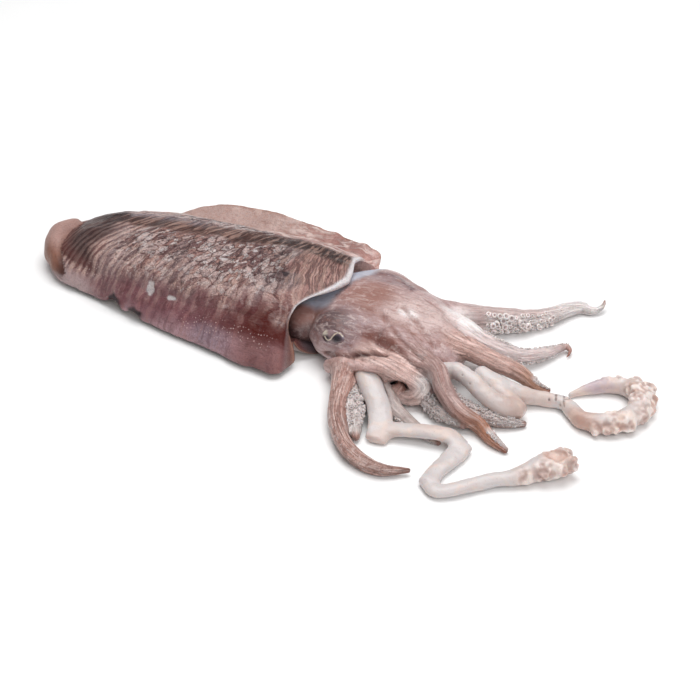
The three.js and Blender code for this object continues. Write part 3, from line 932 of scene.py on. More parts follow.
SKIN = palette(
    dorsum=(168, 128, 121), dorsum_grey=(158, 134, 132), side=(124, 80, 86), side_front=(100, 56, 56),
    hem=(182, 146, 152), hem_front=(138, 98, 98), deep_red=(80, 18, 10), grey_blue=(150, 132, 144),
    rear=(42, 20, 22), rear_low=(112, 62, 59), olive=(108, 77, 69), midline=(74, 54, 50),
    sheen=(172, 160, 168), salmon=(184, 156, 149), salmon_front=(158, 126, 122),
    salmon_tip=(220, 184, 178), fin_edge=(150, 104, 84), lobe=(146, 102, 86), lobe_top=(174, 140, 132),
    lobe_shade=(72, 44, 40), pale_fin=(184, 160, 160), rim=(226, 220, 222), rim_low=(186, 142, 124),
    inside=(206, 208, 220), inside_brown=(108, 68, 62), inside_low=(108, 92, 96), belly=(206, 190, 184),
    white=(204, 194, 194), black=(48, 36, 40),
)
# White splotches; and dark ones, a black spot on the back and painted shadow in the notches of the hem:
# middle and half sizes.
WHITE_SPOTS = [
    ((-19, -45, 21), (3, 3, 5)), ((-3, -47, 20), (2.5, 2.5, 2.5)), ((17, -20, 38.5), (3.5, 2, 2.5)),
    ((31, -6, 40), (2, 2, 2)),
]
BLACK_SPOT_AND_SHADOWS = [((59, -20, 39), (3.5, 2.5, 3)), ((-45, -47.5, 6), (6, 4, 4.5)), ((-27, -54, 6), (7, 4, 4))]


def mantle_zones(points, at):
    """How far each point lies in each zone of the skin, and the noise by which the borders wander."""
    x, y, z = points.T
    left = 1 - at.right
    wander = 5 * fractal(points, 16, 11)
    far = ramp(y + 0.9 * wander, 23, 28) * ramp(x, -70, -50) * left
    torn = points + 1.5 * np.stack([noise(points, 3, seed) for seed in (61, 62, 63)], axis=1)
    return SimpleNamespace(
        wander=wander,
        side=ramp(at.down + 1.6 * wander, 32, 54) * at.right,
        deep=blot(points, (65, -48, 20), (25, 12, 11), 0.5) * (1 + 0.4 * fractal(points, 22, 14)),
        salmon=np.maximum(far, ramp(-at.down, 34, 42) * left),
        midline=bump(y + 0.6 * wander - 7 * ramp(x, 0, 45), 7, 13) * ramp(x, -95, -70),
        rear=(1 - ramp(x + 1.1 * wander, -74, -54)) * ramp(z, 13, 18),
        pale_fin=blot(points, (-86, -40, 5), (24, 12, 8), 0.5) * at.right,
        under=(1 - ramp(at.girth, 0.3, 0.45)) * (1 - at.pocket),
        mouth=np.maximum(at.rim, at.pocket),
        white=sum(blot(torn, *spot, 0.2) for spot in WHITE_SPOTS),
        black=sum(blot(torn, *spot, 0.3) for spot in BLACK_SPOT_AND_SHADOWS),
    )


def mantle_ground(points, at, zone):
    """Ground colours of the mantle's skin."""
    x, y, z = points.T
    wander = zone.wander
    skin = Ground(points, SKIN, SKIN["dorsum"])
    skin.tint("dorsum_grey", ramp(fractal(points, 26, 16), 0.0, 0.5))
    skin.tint("side", zone.side)
    skin.tint("side_front", 0.8 * ramp(x + wander, 5, 40) * zone.side)
    skin.tint("hem", ramp(at.down + wander, 56, 68) * at.right)
    skin.tint("hem_front", ramp(x + wander, 34, 62) * ramp(at.down, 50, 64) * at.right)
    skin.blot("grey_blue", 0.7, (30, -57, 9), (15, 9, 6), 0.6)
    skin.tint("deep_red", zone.deep)
    skin.tint("salmon", zone.salmon)
    skin.tint("salmon_front", zone.salmon * ramp(x, 20, 60) * 0.8)
    skin.tint("salmon_tip", zone.salmon * ramp(x + wander, 68, 80))
    skin.tint("olive", ramp(zone.midline, 0, 0.5))
    skin.tint("midline", 0.85 * ramp(zone.midline, 0.2, 0.7) * ramp(x, 5, 40))
    sheen = bump(y + 0.5 * wander, 15, 10) * ramp(x, -82, -62) * (1 - ramp(x + wander, -25, 5))
    skin.tint("sheen", 0.85 * sheen)
    skin.tint("rear", 0.95 * zone.rear)
    skin.tint("rear_low", 0.8 * zone.rear * (1 - ramp(z, 17, 25)))
    line = bump(y + 0.15 * wander, 23, 2.2) * ramp(x, -50, -35) * (1 - ramp(x, 40, 55))
    skin.tint("rear", 0.8 * line * (z > 25))
    skin.tint("fin_edge", 0.7 * bump(at.girth, FIN_EDGE, 0.025) * (1 - at.right) * ramp(x, -60, -30))
    skin.tint("pale_fin", zone.pale_fin)
    skin.tint("belly", zone.under)
    skin.tint("rim", at.rim)
    skin.tint("inside", at.pocket)
    # Low in the mouth the skin is painted brown, partly its own colour and partly painted shade, and darker
    # still at the bottom as painted shade.
    low = zone.mouth * (1 - ramp(z, 22, 31))
    skin.tint("inside_brown", low)
    skin.tint("salmon_tip", low * ramp(y, 16, 30))
    skin.tint("inside_low", zone.mouth * (1 - ramp(z, 6, 11)) * ramp(y, -46, -38))
    skin.tint("side_front", at.rim * (1 - ramp(z, 14, 22)) * (1 - ramp(y, -46, -38)))
    skin.tint("rim_low", 0.8 * at.lip_line * (1 - ramp(z, 20, 30)))
    skin.tint("white", zone.white)
    # Black: a spot on the back, and painted shadow in the notches under the hem.
    skin.tint("black", zone.black)
    return skin.shades


def mantle_masks(points, at, zone):
    """Where each pattern of the mantle's material shows, in the order of their names."""
    x, down, wander = points[:, 0], at.down, zone.wander
    bare = np.maximum.reduce([zone.mouth, zone.under, zone.pale_fin, zone.white, zone.black])
    back = (1 - zone.side) * (1 - zone.salmon) * (1 - 0.85 * zone.rear) * (1 - ramp(zone.midline, 0.1, 0.6))
    low = ramp(down + wander, 18, 34)
    zebra = back * (1 - (0.75 - 0.5 * low) * ramp(x + 2 * wander, -40, 0))
    on_side = 0.25 * zone.side * (1 - ramp(down, 50, 58)) * (1 - 0.8 * zone.deep)
    cells = back * ramp(x + 2 * wander, -72, -20) * (1 - ramp(x + wander - 0.5 * down, 44, 60))
    front_fan = 0.8 * ramp(x, 36, 60) * (1 - ramp(down + wander, 16, 34)) * (1 - zone.salmon)
    dots = ramp(down + 0.5 * wander, 53, 57) * (1 - ramp(down + 0.5 * wander, 63, 69)) * at.right
    dots *= ramp(x, 0, 15) * (1 - ramp(x, 64, 76))
    masks = (
        np.maximum(zebra, on_side),
        cells * (1 - 0.45 * low),
        np.maximum.reduce([ramp(zone.midline, 0.1, 0.7), 0.15 * zone.rear, front_fan]),
        zone.side * (1 - 0.8 * zone.deep),
        np.maximum(dots, blot(points, (-66, -38, 16), (11, 6, 7), 0.4)),
        zone.salmon,
        zone.salmon * ramp(x + wander, 0, 35),
    )
    return {key: mask * (1 - bare) for key, mask in zip(MANTLE_MASKS, masks)}


def make_mantle():
    rings, girth, is_right, outer_rows = sleeve()
    rows, around = rings.shape[:2]
    quads = closed_grid(rows, around)
    rings = smoothed(rings.reshape(-1, 3), quads, SMOOTHING_ROUNDS).reshape(rows, around, 3)
    points = with_ends(rings)

    def for_points(values):
        return np.concatenate([np.broadcast_to(values, (rows, around)).ravel(), [0, 0]])

    row = np.arange(rows)[:, None]
    rim_end = outer_rows + MANTLE_ROWS["rim"] + 1
    at = SimpleNamespace(
        down=for_points(distance_down(rings)),
        girth=for_points(girth),
        right=for_points(is_right * 1.0),
        rim=for_points(ramp(row, outer_rows - RIM_FADE, outer_rows - 1) * (row < rim_end)),
        lip_line=for_points(bump(row, outer_rows - 1, LIP_LINE)),
        pocket=for_points(row >= rim_end) * 1.0,
    )
    relief = rough(points, MANTLE_RELIEF)
    folded = ramp(points[:, 0], *FIN_FOLDS_START["along"]) * ramp(-at.down, *FIN_FOLDS_START["down"])
    relief += rough(points, FIN_FOLDS) * folded
    outside = (1 - np.maximum(at.rim, at.pocket)) * ramp(at.girth, *RELIEF_START)
    points = raised(points, quads, relief * outside)

    zone = mantle_zones(points, at)
    lobe, lobe_faces, lobe_ground = tail_lobe_shape()
    mantle = bare_mesh("mantle_skin", points, closed_faces(rows, around))
    fuse(mantle, bare_mesh("tail_lobe", lobe, lobe_faces))
    source = nearest(np.vstack([points, lobe]), points_of(mantle.data))
    ground = np.vstack([mantle_ground(points, at, zone), lobe_ground])[source]
    masks = mantle_masks(points, at, zone)
    masks = {key: np.concatenate([mask, np.zeros(len(lobe))])[source] for key, mask in masks.items()}
    phase = points[:, 0] + bar_lean(points[:, 0]) * LEAN_REACH * np.tanh(at.down / LEAN_REACH)
    skin_map = np.vstack([np.column_stack([phase, at.down]), lobe[:, [0, 2]]])[source]
    dress(mantle, ground, masks, {"skin": skin_map / MM_PER_CM})
    place(mantle, "mantle", "mantle_skin", mantle_material())


def distance_down(grid):
    """Distance down the skin from the ridge in each ring: positive on the right, negative on the left."""
    steps = np.linalg.norm(np.diff(grid[:, :, 1:], axis=1), axis=2)
    run = np.concatenate([np.zeros((len(grid), 1)), np.cumsum(steps, axis=1)], axis=1)
    ridge = grid.shape[1] // 2
    return run - run[:, ridge:ridge + 1]


def swept_rings(route, around, rounding, blunt=0.02):
    """The rings of a tube along a route, whose ends are rounded over a distance but a little blunt."""
    to_end = np.minimum(route.run, route.length - route.run)
    narrowing = np.sqrt(1 - (1 - np.clip(to_end / rounding, blunt, 1))**2)
    angle = 2 * np.pi * np.arange(around) / around
    side = (route.width * narrowing)[:, None, None] * np.cos(angle)[None, :, None] * route.side[:, None]
    up = (route.height * narrowing)[:, None, None] * np.sin(angle)[None, :, None] * route.up[:, None]
    return route.places[:, None] + side + up


def tail_lobe_shape():
    """The curled lobe of fin behind the tail: points, faces and ground colours."""
    rings = swept_rings(Route(TAIL_LOBE, LOBE["spacing"]), LOBE["around"], LOBE["rounding"])
    rows, around = rings.shape[:2]
    points = with_ends(rings)
    points = raised(points, closed_grid(rows, around), rough(points, LOBE_RELIEF), TABLE + LOBE["lift"])
    x, y, z = points.T
    lobe = Ground(points, SKIN, SKIN["lobe"])
    lobe.tint("lobe_top", ramp(z, 15, 22))
    lobe.tint("lobe_shade", 0.9 * ramp(x + 0.4 * y, -112, -104) * (1 - ramp(z, 14, 21)))
    lobe.tint("pale_fin", 1 - ramp(z, 4, 9))
    return points, closed_faces(rows, around), lobe.shades


def fuse(piece, other):
    """Joins another closed mesh to a piece, and removes it."""
    modifier = piece.modifiers.new("join", "BOOLEAN")
    modifier.operation = "UNION"
    modifier.solver = "MANIFOLD"
    modifier.object = other
    bpy.context.view_layer.objects.active = piece
    bpy.ops.object.modifier_apply(modifier=modifier.name)
    bpy.data.objects.remove(other)
    soften_seam(piece.data)


def soften_seam(mesh):
    """Relaxes the points near the sharp edges that the tail's joined lobe leaves."""
    shape = bmesh.new()
    shape.from_mesh(mesh)
    joints = [edge for edge in shape.edges if len(edge.link_faces) == 2]
    sharp = [edge for edge in joints if edge.calc_face_angle() > SEAM["angle"]]
    points = {point for edge in sharp for point in edge.verts if point.co.x < SEAM["front"] * MM}
    for _ in range(SEAM["reach"]):
        points |= {edge.other_vert(point) for point in points for edge in point.link_edges}
    for _ in range(SEAM["rounds"]):
        bmesh.ops.smooth_vert(shape, verts=list(points), factor=SEAM["share"], use_axis_x=True,
                              use_axis_y=True, use_axis_z=True)
    shape.to_mesh(mesh)
    shape.free()


# Head, arms and tentacles

# The head's ends, and its sections between them: middle, half width, top and bottom.
HEAD_ENDS = (62, 172)
head_middle = profile((62, 0), (92, -1), (118, -6), (146, -13), (172, -20))
head_half_width = profile(
    (62, 22), (80, 26), (92, 32), (106, 36), (120, 35), (134, 32), (148, 28), (160, 22), (172, 12),
)
head_top = profile(
    (62, 25), (80, 28.5), (92, 31.5), (106, 33.8), (120, 34), (134, 33.5), (148, 31.5), (160, 27), (172, 20),
)
head_bottom = profile((62, 9), (80, 6.5), (92, 4), (106, 1.5), (134, 1), (150, 2.5), (172, 9))

EYE_RADII = np.array([8.5, 4, 5.5])
# How much of its depth an eye is sunk in its bulge, and how far the flesh laps over it.
EYE_SUNK = 0.88
EYE_OVERLAP = 0.4
# The neck swells to fill the mantle's mouth beside the right eye: middle and half sizes.
NECK_SWELLING = ((74, -20, 12), (13, 19, 12))
BULGE = np.array([19, 15, 15])
# The middle of each bulge, and the way its eye looks.
EYE_PLACES = {
    "right": {"bulge": (102, -32, 15.2), "out": (0.1, -0.87, 0.48)},
    "left": {"bulge": (105, 19, 15.2), "out": (0.1, 0.95, 0.2)},
}


class Eye:
    """Where an eye sits on its bulge. The rows of its turn point across, out and up."""

    def __init__(self, bulge, out):
        self.bulge = np.array(bulge)
        out = np.array(out) / np.linalg.norm(out)
        reach = 1 / np.linalg.norm(out / BULGE)
        self.middle = self.bulge + out * (reach - EYE_RADII[1] * EYE_SUNK)
        across = np.array([abs(out[1]), -out[0] * np.sign(out[1]), 0])
        across /= np.linalg.norm(across)
        rise = np.cross(across, out)
        self.turn = np.stack([across, out, rise * np.sign(rise[2])])


eyes = {side: Eye(**spot) for side, spot in EYE_PLACES.items()}

# Stops of the arms: place, half width and half height.
ARMS = {
    "right_fourth": [
        (106, -32, 9, 9, 8.5), (114, -47, 9.5, 10, 9), (120.5, -66, 9, 7.2, 8), (126.5, -86, 6.6, 4.8, 6.2),
        (136.5, -103.5, 5.5, 4.7, 5.3), lying(152, -117, 4.7, 4.7), lying(169, -121, 3.6, 3.6),
        (183.5, -114, 2.6, 1.4, 1.4),
    ],
    # The open, suckered side of the outermost arm lies flat beside it.
    "right_fourth_inner": [
        (116, -52, 9, 4, 4), (127, -70, 6.6, 6, 4.4), (134, -82, 5.4, 6.5, 4), (141, -93, 3.8, 4.5, 3.2),
        (146, -101, 2.6, 2, 2),
    ],
    "right_third": [
        (112, -37, 13.5, 8, 7.5), (123, -46, 16.5, 7.5, 7), (133, -51, 18.4, 7.6, 7.2),
        (143, -53, 18, 8, 7.8), (152.3, -54, 15.6, 8, 8), (160, -53, 10.4, 7.4, 7.2),
        (159, -55.6, 7.4, 6.4, 6.4), (155.4, -57.5, 6.4, 5.4, 5.4), (150.5, -58, 8.6, 4, 4),
        (151.5, -57, 11.2, 3, 3),
    ],
    "left_fourth": [
        (124, -40, 10, 8, 7), (140, -59, 7.5, 5.6, 6), lying(151, -68, 4.8, 4.6), lying(166, -76, 4.2, 3.2),
        lying(178, -81, 3.2, 2.2), lying(187, -84, 1.4, 1.6),
    ],
    "right_second": [
        (135, -34, 24, 9, 9), (155.5, -44, 24, 6.8, 7), (169, -49.5, 21.5, 5.4, 6),
        (177.5, -57, 15.5, 5, 5.4), (189, -62.5, 9.2, 4.7, 5.2), lying(201.5, -63.5, 4.1, 5),
        lying(210, -69.5, 3.4, 3.8), lying(221, -74, 1.8, 2),
    ],
    # A flap of suckers shows under it.
    "right_second_inner": [
        (166, -50, 10, 3, 3), (168, -56, 6, 4, 3.4), (176, -61, 5, 4.6, 3.2), (184, -64, 4.6, 3.8, 3),
        (194, -67, 4, 2, 2),
    ],
    "left_third": [
        (146, -30, 12, 8, 8), (164, -40, 9, 6.5, 6.5), lying(180, -50, 5.2, 5.4), lying(196, -54, 4.4, 4.6),
        lying(209, -53, 3.4, 3.6), lying(221, -47, 1.8, 2),
    ],
    "right_first": [
        (148, -14, 23, 9, 8.5), (168, -18, 21, 7, 6.5), (184, -18, 17.5, 6, 5.6), (196, -16, 13.5, 5.4, 5),
        (206, -14, 9, 4.8, 4.5), (214, -15, 5, 3.2, 3), lying(221, -11, 1.6, 1.8),
    ],
    "left_first": [
        (146, 0, 21, 9, 8.5), (165, -3, 20, 8.4, 7.8), (177, -3, 16, 6, 5.5), (187, 1, 11, 5.2, 4.8),
        (197, 6, 7.5, 4.5, 4.3), (206.5, 19.5, 4.6, 3.5, 3.4), (211.5, 29.5, 3.4, 2.4, 2.4),
        (214.5, 34, 3, 1.8, 1.8), (217, 32.5, 2.4, 1.4, 1.5), (217.8, 28.5, 1.7, 1, 1.1),
        (217.4, 25.8, 1.2, 0.6, 0.7),
    ],
    "left_second": [
        (134, 9, 17, 10, 9), (150, 18, 14.6, 9, 8), (161, 28, 11.3, 8, 7.4), (173, 37, 8.4, 7, 6.6),
        lying(187, 49, 6, 6), lying(195, 60, 5, 5), lying(200.5, 70.5, 4.6, 4.5), lying(207, 78, 3.7, 3.8),
        lying(213, 78.5, 2.6, 2.8), (217, 82, 3, 1.9, 2), (218, 86.5, 4, 1.4, 1.5), (217.4, 90, 5, 0.9, 1),
    ],
}
# How softly the outermost arms run into the head: they keep a crease under the eye.
CREASED_ARMS = {"right_fourth": 1.0, "right_third": 1.2}
# A fold of skin lies from the outermost arm to the next, over the root of the right tentacle.
COLLAR = [
    (104.5, -51, 6.5, 4.6, 4.6), (110.5, -53.5, 12.5, 4.2, 4), (120, -58, 16.5, 3.8, 3.4),
    (130, -60, 18.5, 3.6, 3.2), (140, -58, 21, 3.6, 3), (148, -55, 22, 3, 2.4),
]
# Folds in the head's skin, of which the first lies along the collar: stops, depth and half width.
FOLDS = [
    (
        [
            (98, -48, 8), (106, -51, 13), (114.5, -52.7, 18), (120, -54, 21.5), (126.4, -55.4, 25),
            (133, -54, 28), (139, -52.5, 30),
        ],
        2.2, 3.2,
    ),
    ([(124, -26, 33), (133, -34, 32), (142, -42, 32), (152, -48, 30), (160, -51, 28)], 1.1, 3),
    ([(131, -14, 34), (137, -18, 33.5), (144, -23, 31), (151, -28, 28), (160, -31, 24)], 1.0, 3),
    ([(140, -26, 31), (148, -36, 30), (158, -43, 28)], 0.7, 2.4),
    ([(138, 2, 31), (150, -3, 30), (162, -10, 27), (176, -18, 24)], 0.8, 2.6),
]
# Each tentacle is a few strands that meet at its sharp folds.
TENTACLES = {
    "right": [
        [
            (125, -48, 13, 4, 4), (129.5, -56, 14, 6.6, 5.2), (136, -64, 12, 7, 5),
            (144, -72.5, 8.5, 6.6, 4.6), (151, -82, 5, 6.8, 3.6), (155, -91, 3.2, 7.2, 2.8),
            lying(155.5, -97, 6, 2.4),
        ],
        [
            lying(152, -93, 6, 2.6), (160, -87.5, 4, 5.6, 2.8), (171, -85, 5.4, 5.2, 2.8),
            (184, -82, 6.2, 5.2, 2.8), (193, -80.5, 5, 5.6, 2.8), lying(198.5, -82.5, 6, 2.8),
        ],
        [
            lying(199.5, -81.5, 5.8, 2.8), lying(199, -90, 6.2, 2.8), lying(198, -98, 5.6, 2.8),
            lying(196.3, -108, 5, 2.8), lying(196.5, -119, 5.4, 2.8),
        ],
        [
            lying(195.5, -117, 5.2, 2.8), lying(203, -122.5, 5, 2.8), lying(211, -118, 4.6, 3),
            lying(218.6, -109.5, 4.4, 3.2), lying(226.6, -102, 4.4, 3.6), lying(234, -97, 5, 4.2),
            lying(241, -90, 6, 5.4), lying(247.5, -83, 7.4, 7), lying(253.5, -76.5, 7, 7.6),
        ],
    ],
    "left": [
        [
            (156, -32, 14, 4, 4), (168, -39, 15.5, 4.6, 4.6), (176, -38, 17.5, 5, 4.8),
            (187, -42, 16.5, 5.2, 4.8), (198, -46, 12, 5.6, 4.8), (208, -46, 8, 6, 5),
            (215, -42, 5.6, 5.5, 5),
        ],
        [(215, -42, 5.6, 5.5, 5), (205, -36, 7.5, 5.5, 5), (194, -31, 10, 5, 4.6), (186, -27, 12, 4.5, 4.5)],
        [
            (186, -27, 12, 4.5, 4.5), (198, -30, 10, 6, 5), (210, -28, 6.5, 5.5, 4.8),
            lying(223, -23, 4.2, 4.2), lying(234, -22, 4, 4), lying(241, -27, 4.6, 4.4),
            lying(249.5, -33.5, 5, 5), lying(260, -31.5, 5.6, 5.4), lying(269, -24, 6, 5.8),
            lying(272.5, -11.5, 6, 5.8), lying(269, 2, 5.8, 5.6), lying(260, 7, 5.2, 5),
            lying(248.5, 4.5, 4.4, 4.4), lying(239.5, -3, 3, 3.2), lying(233, -10, 1.4, 1.8),
        ],
    ],
}
# Fleshy lumps on the clubs: middle and half size. They are a little flattened.
LUMP_HEIGHT = 0.9
LUMPS = {
    "right": [
        (249, -90, 7, 3.4), (256, -84, 8, 3.8), (258.5, -77, 6, 3.8), (253, -70.5, 8, 3.6),
        (246, -78, 6, 3.6), (259, -78, 11, 3), (240, -94.5, 4, 2.2),
    ],
    "left": [
        (263, 12, 5, 4.6), (271, 9, 5.5, 5), (275, 1, 5, 4.6), (277, -7, 4.4, 4.2), (276, -16, 4.6, 4.2),
        (272, -26, 4.6, 4.6), (266, 3, 8.5, 4), (270, -6, 9, 3.8), (255, 11, 4.6, 3.6), (248, 8, 5, 2.8),
        (264, -36, 4, 2.6), (258, -38, 3.4, 2.2), (267, -32, 4.4, 3.2), (262, -27, 7, 2.6),
    ],
}
# The right club is hollow like a spoon: middle and half sizes of the hollow.
SPOON = ((250.5, -80.5, 17.5), (8.5, 5.5, 6.5))
# Creases across the tentacles' folds, and their half width and depth.
CREASE = {"half_width": 1.3, "depth": 0.4}
CREASES = {
    "right": [
        [(148, -91, 8), (158, -92, 7)],
        [(196, -86, 7), (203, -80, 7)],
        [(196, -106, 7), (203, -113, 7)],
    ],
    "left": [
        [(228, -19, 8), (231, -28, 6)],
        [(232, -17, 8), (236, -29, 6)],
        [(235, -17, 8), (239, -29, 6)],
        [(229, -25, 8), (238, -22, 8)],
        [(226, -27, 6), (233, -26, 5)],
        [(237, -18, 7), (243, -30, 6)],
        [(224, -17, 7), (227, -28, 6)],
        [(178, -32, 21), (182, -44, 20)],
        [(184, -36, 20), (188, -47, 18)],
    ],
}
arm_routes = {name: Route(stops) for name, stops in ARMS.items()}
tentacle_routes = {side: [Route(stops) for stops in strands] for side, strands in TENTACLES.items()}

# The box of the head's distance field, the room round a tentacle's, and the sizes of their cells.
HEAD_BOX = ((58, -132, -2), (232, 100, 44))
TENTACLE_ROOM = 14
CELL = {"head": 0.9, "tentacle": 0.65}
# How softly each kind of flesh runs into what it joins.
SOFTNESS = {"bulge": 5.0, "neck": 1.0, "arm": 1.0, "crown": 4.0, "collar": 1.0, "strand": 1.5, "lump": 2.0}
# Layers of relief: height, size of the features and seed.
HEAD_RELIEF = [(0.6, (22, 5, 5), 32), (0.3, (8, 2.4, 2.4), 33)]
ARM_WRINKLES = [(1, (1.8, 1.6, 1), 31)]
ARM_RELIEF = [(0.5, 6, 34)]
TENTACLE_RELIEF = [(0.35, 7, 53), (0.15, 2.5, 55)]
CLUB_CURLS = [(1, 3.2, 51), (0.8, 1.9, 52)]
CURL_HEIGHT = 0.9
# Where an arm's own skin takes over: millimetres off the arm, and shares of its length.
ARM_START = {"off": (0.4, 3), "share": (0.1, 0.3)}
# The arms' skin laid out flat: its stretch round an arm and along it, and the gaps between the arms.
ARM_MAP = {"round": 7, "along": 0.12, "gaps": (31, 9.0)}
# What the wrinkles and the relief fade between, from an arm's root to its tip.
ARM_FADE = {"wrinkles": (0.5, 0.15), "relief": (1, 0.3)}
# The half size of the smooth skin round an eye.
SMOOTH_SKIN = (13, 13, 13)

FLESH = palette(
    head=(186, 158, 157), grey=(154, 130, 132), bulge=(86, 66, 68), bulge_low=(204, 180, 180),
    brown=(148, 102, 90), pale=(208, 184, 180), white=(246, 238, 237), furrow=(118, 63, 47),
    tip=(172, 106, 86), web=(232, 198, 190), purple=(84, 62, 72), neck=(78, 55, 55),
    neck_top=(146, 106, 98), neck_blue=(184, 186, 199), crease=(84, 56, 54), sucker_bed=(226, 214, 212),
    ivory=(206, 198, 197), peach=(206, 180, 168), fold=(190, 165, 156), club=(200, 178, 171),
    club_white=(236, 225, 220), club_gap=(170, 140, 132), club_orange=(196, 150, 132),
    mauve=(188, 170, 178), rosy=(188, 150, 136), wrinkle=(96, 74, 72), sucker=(232, 222, 220),
    hollow=(176, 156, 154),
)
# Skin at the root and at the tip of each arm, how strongly it is streaked, and the share of the arm's
# length at which the tip's colour begins.
ARM_SKIN = {
    "right_fourth": (rgb(194, 154, 144), rgb(192, 150, 138), 0.9, 0.6),
    "right_fourth_inner": (rgb(220, 206, 202), rgb(226, 216, 212), 0.2, 0.6),
    "right_third": (rgb(228, 194, 186), rgb(220, 190, 184), 0.5, 0.7),
    "left_fourth": (rgb(206, 192, 188), rgb(198, 182, 176), 0.3, 0.6),
    "right_second": (rgb(190, 156, 151), rgb(196, 134, 104), 0.5, 0.55),
    "right_second_inner": (rgb(206, 192, 188), rgb(200, 186, 182), 0.2, 0.6),
    "left_third": (rgb(184, 152, 146), rgb(190, 166, 158), 0.4, 0.6),
    "right_first": (rgb(224, 186, 176), rgb(198, 146, 120), 0.4, 0.6),
    "left_first": (rgb(242, 224, 222), rgb(204, 120, 92), 0.15, 0.76),
    "left_second": (rgb(210, 188, 185), rgb(250, 241, 239), 0.12, 0.5),
}


def on_surface(points, line):
    """Moves each stop of a line to the nearest of the points."""
    return [points[np.linalg.norm(points - stop, axis=1).argmin()] for stop in line]


def skull_field(field):
    """The head's distance field, from its sections along x."""
    x, y, z = field.axes
    middle, width, top, bottom = (
        curve(x)[:, None, None] for curve in (head_middle, head_half_width, head_top, head_bottom)
    )
    local = np.broadcast_arrays(y[None, :, None] - middle, z[None, None, :] - (top + bottom) / 2)
    radii = np.stack([width, (top - bottom) / 2], axis=-1)
    past_end = np.maximum(HEAD_ENDS[0] - x, x - HEAD_ENDS[1])[:, None, None]
    return np.maximum(ellipsoid_distance(np.stack(local, axis=-1), radii), past_end)


def flesh_mesh():
    """Head, eye bulges, collar and arms as one mesh, with room left for the tentacles and the eyes."""
    field = Field(*HEAD_BOX, CELL["head"])
    flesh = skull_field(field)
    for eye in eyes.values():
        flesh = smooth_union(flesh, field.ellipsoid(eye.bulge, BULGE), SOFTNESS["bulge"])
    flesh = smooth_union(flesh, field.ellipsoid(*NECK_SWELLING), SOFTNESS["neck"])
    arms = field.empty()
    for name, route in arm_routes.items():
        if name in CREASED_ARMS:
            flesh = smooth_union(flesh, field.tube(route), CREASED_ARMS[name])
        else:
            arms = smooth_union(arms, field.tube(route), SOFTNESS["arm"])
    flesh = smooth_union(flesh, arms, SOFTNESS["crown"])
    flesh = smooth_union(flesh, field.tube(Route(COLLAR)), SOFTNESS["collar"])
    for strands in tentacle_routes.values():
        flesh = np.maximum(flesh, CLEARANCE - field.tubes(strands, SOFTNESS["strand"]))
    for eye in eyes.values():
        flesh = np.maximum(flesh, -EYE_OVERLAP - field.ellipsoid(eye.middle, EYE_RADII, eye.turn))
    points, quads = field.mesh(flesh)
    return on_table(points), quads


# Points that are compared with a whole arm at a time, to save memory, and the step between its samples.
BATCH = 8000
SAMPLE_STEP = 2


def nearest_arm(points):
    """For each point the nearest arm's number, its distance, run along it and turn round it."""
    best = np.full(len(points), np.inf)
    arm, run, turn = np.zeros(len(points), int), np.zeros(len(points)), np.zeros(len(points))
    for number, route in enumerate(arm_routes.values()):
        for start in range(0, len(points), BATCH):
            part = slice(start, start + BATCH)
            squares = ((points[part, None] - route.places[None, ::SAMPLE_STEP])**2).sum(2)
            sample = squares.argmin(1) * SAMPLE_STEP
            distance, angle = route.skin_distance(points[part], sample)
            closer = distance < best[part]
            for kept, new in ((best, distance), (arm, number), (run, route.run[sample]), (turn, angle)):
                kept[part] = np.where(closer, new, kept[part])
    return arm, best, run, turn


def make_head():
    points, quads = flesh_mesh()
    arm, distance, run, turn = nearest_arm(points)
    lengths = np.array([route.length for route in arm_routes.values()])
    share = run / lengths[arm]
    on_arm = (1 - ramp(distance, *ARM_START["off"])) * ramp(share, *ARM_START["share"])
    gap, other_gap = ARM_MAP["gaps"]
    around = turn * ARM_MAP["round"] + arm * gap
    along = np.column_stack([around, run * ARM_MAP["along"], arm * other_gap])
    wrinkles = rough(along, ARM_WRINKLES) * lerp(*ARM_FADE["wrinkles"], share)
    wrinkles += rough(points, ARM_RELIEF) * lerp(*ARM_FADE["relief"], share)
    furrows = rough(points, HEAD_RELIEF)
    for eye in eyes.values():
        furrows *= 1 - blot(points, eye.middle, SMOOTH_SKIN, 0.3)
    relief = lerp(furrows, wrinkles, on_arm)
    fold = np.zeros(len(points))
    for line, depth, half_width in FOLDS:
        crease = near_line(points, on_surface(points, line), half_width)
        relief -= depth * crease
        fold = np.maximum(fold, crease * depth / FOLDS[0][1])
    points = raised(points, quads, relief)
    ground, streaks = paint_head(points, arm, share, turn, on_arm, fold)
    piece = make_mesh("head_and_arms_flesh", points, quads, ground, {"arm": on_arm, "streaks": streaks},
                      {"arm_map": np.column_stack([around, run]) / MM_PER_CM})
    place(piece, "head_and_arms", "arm_flesh", flesh_material())


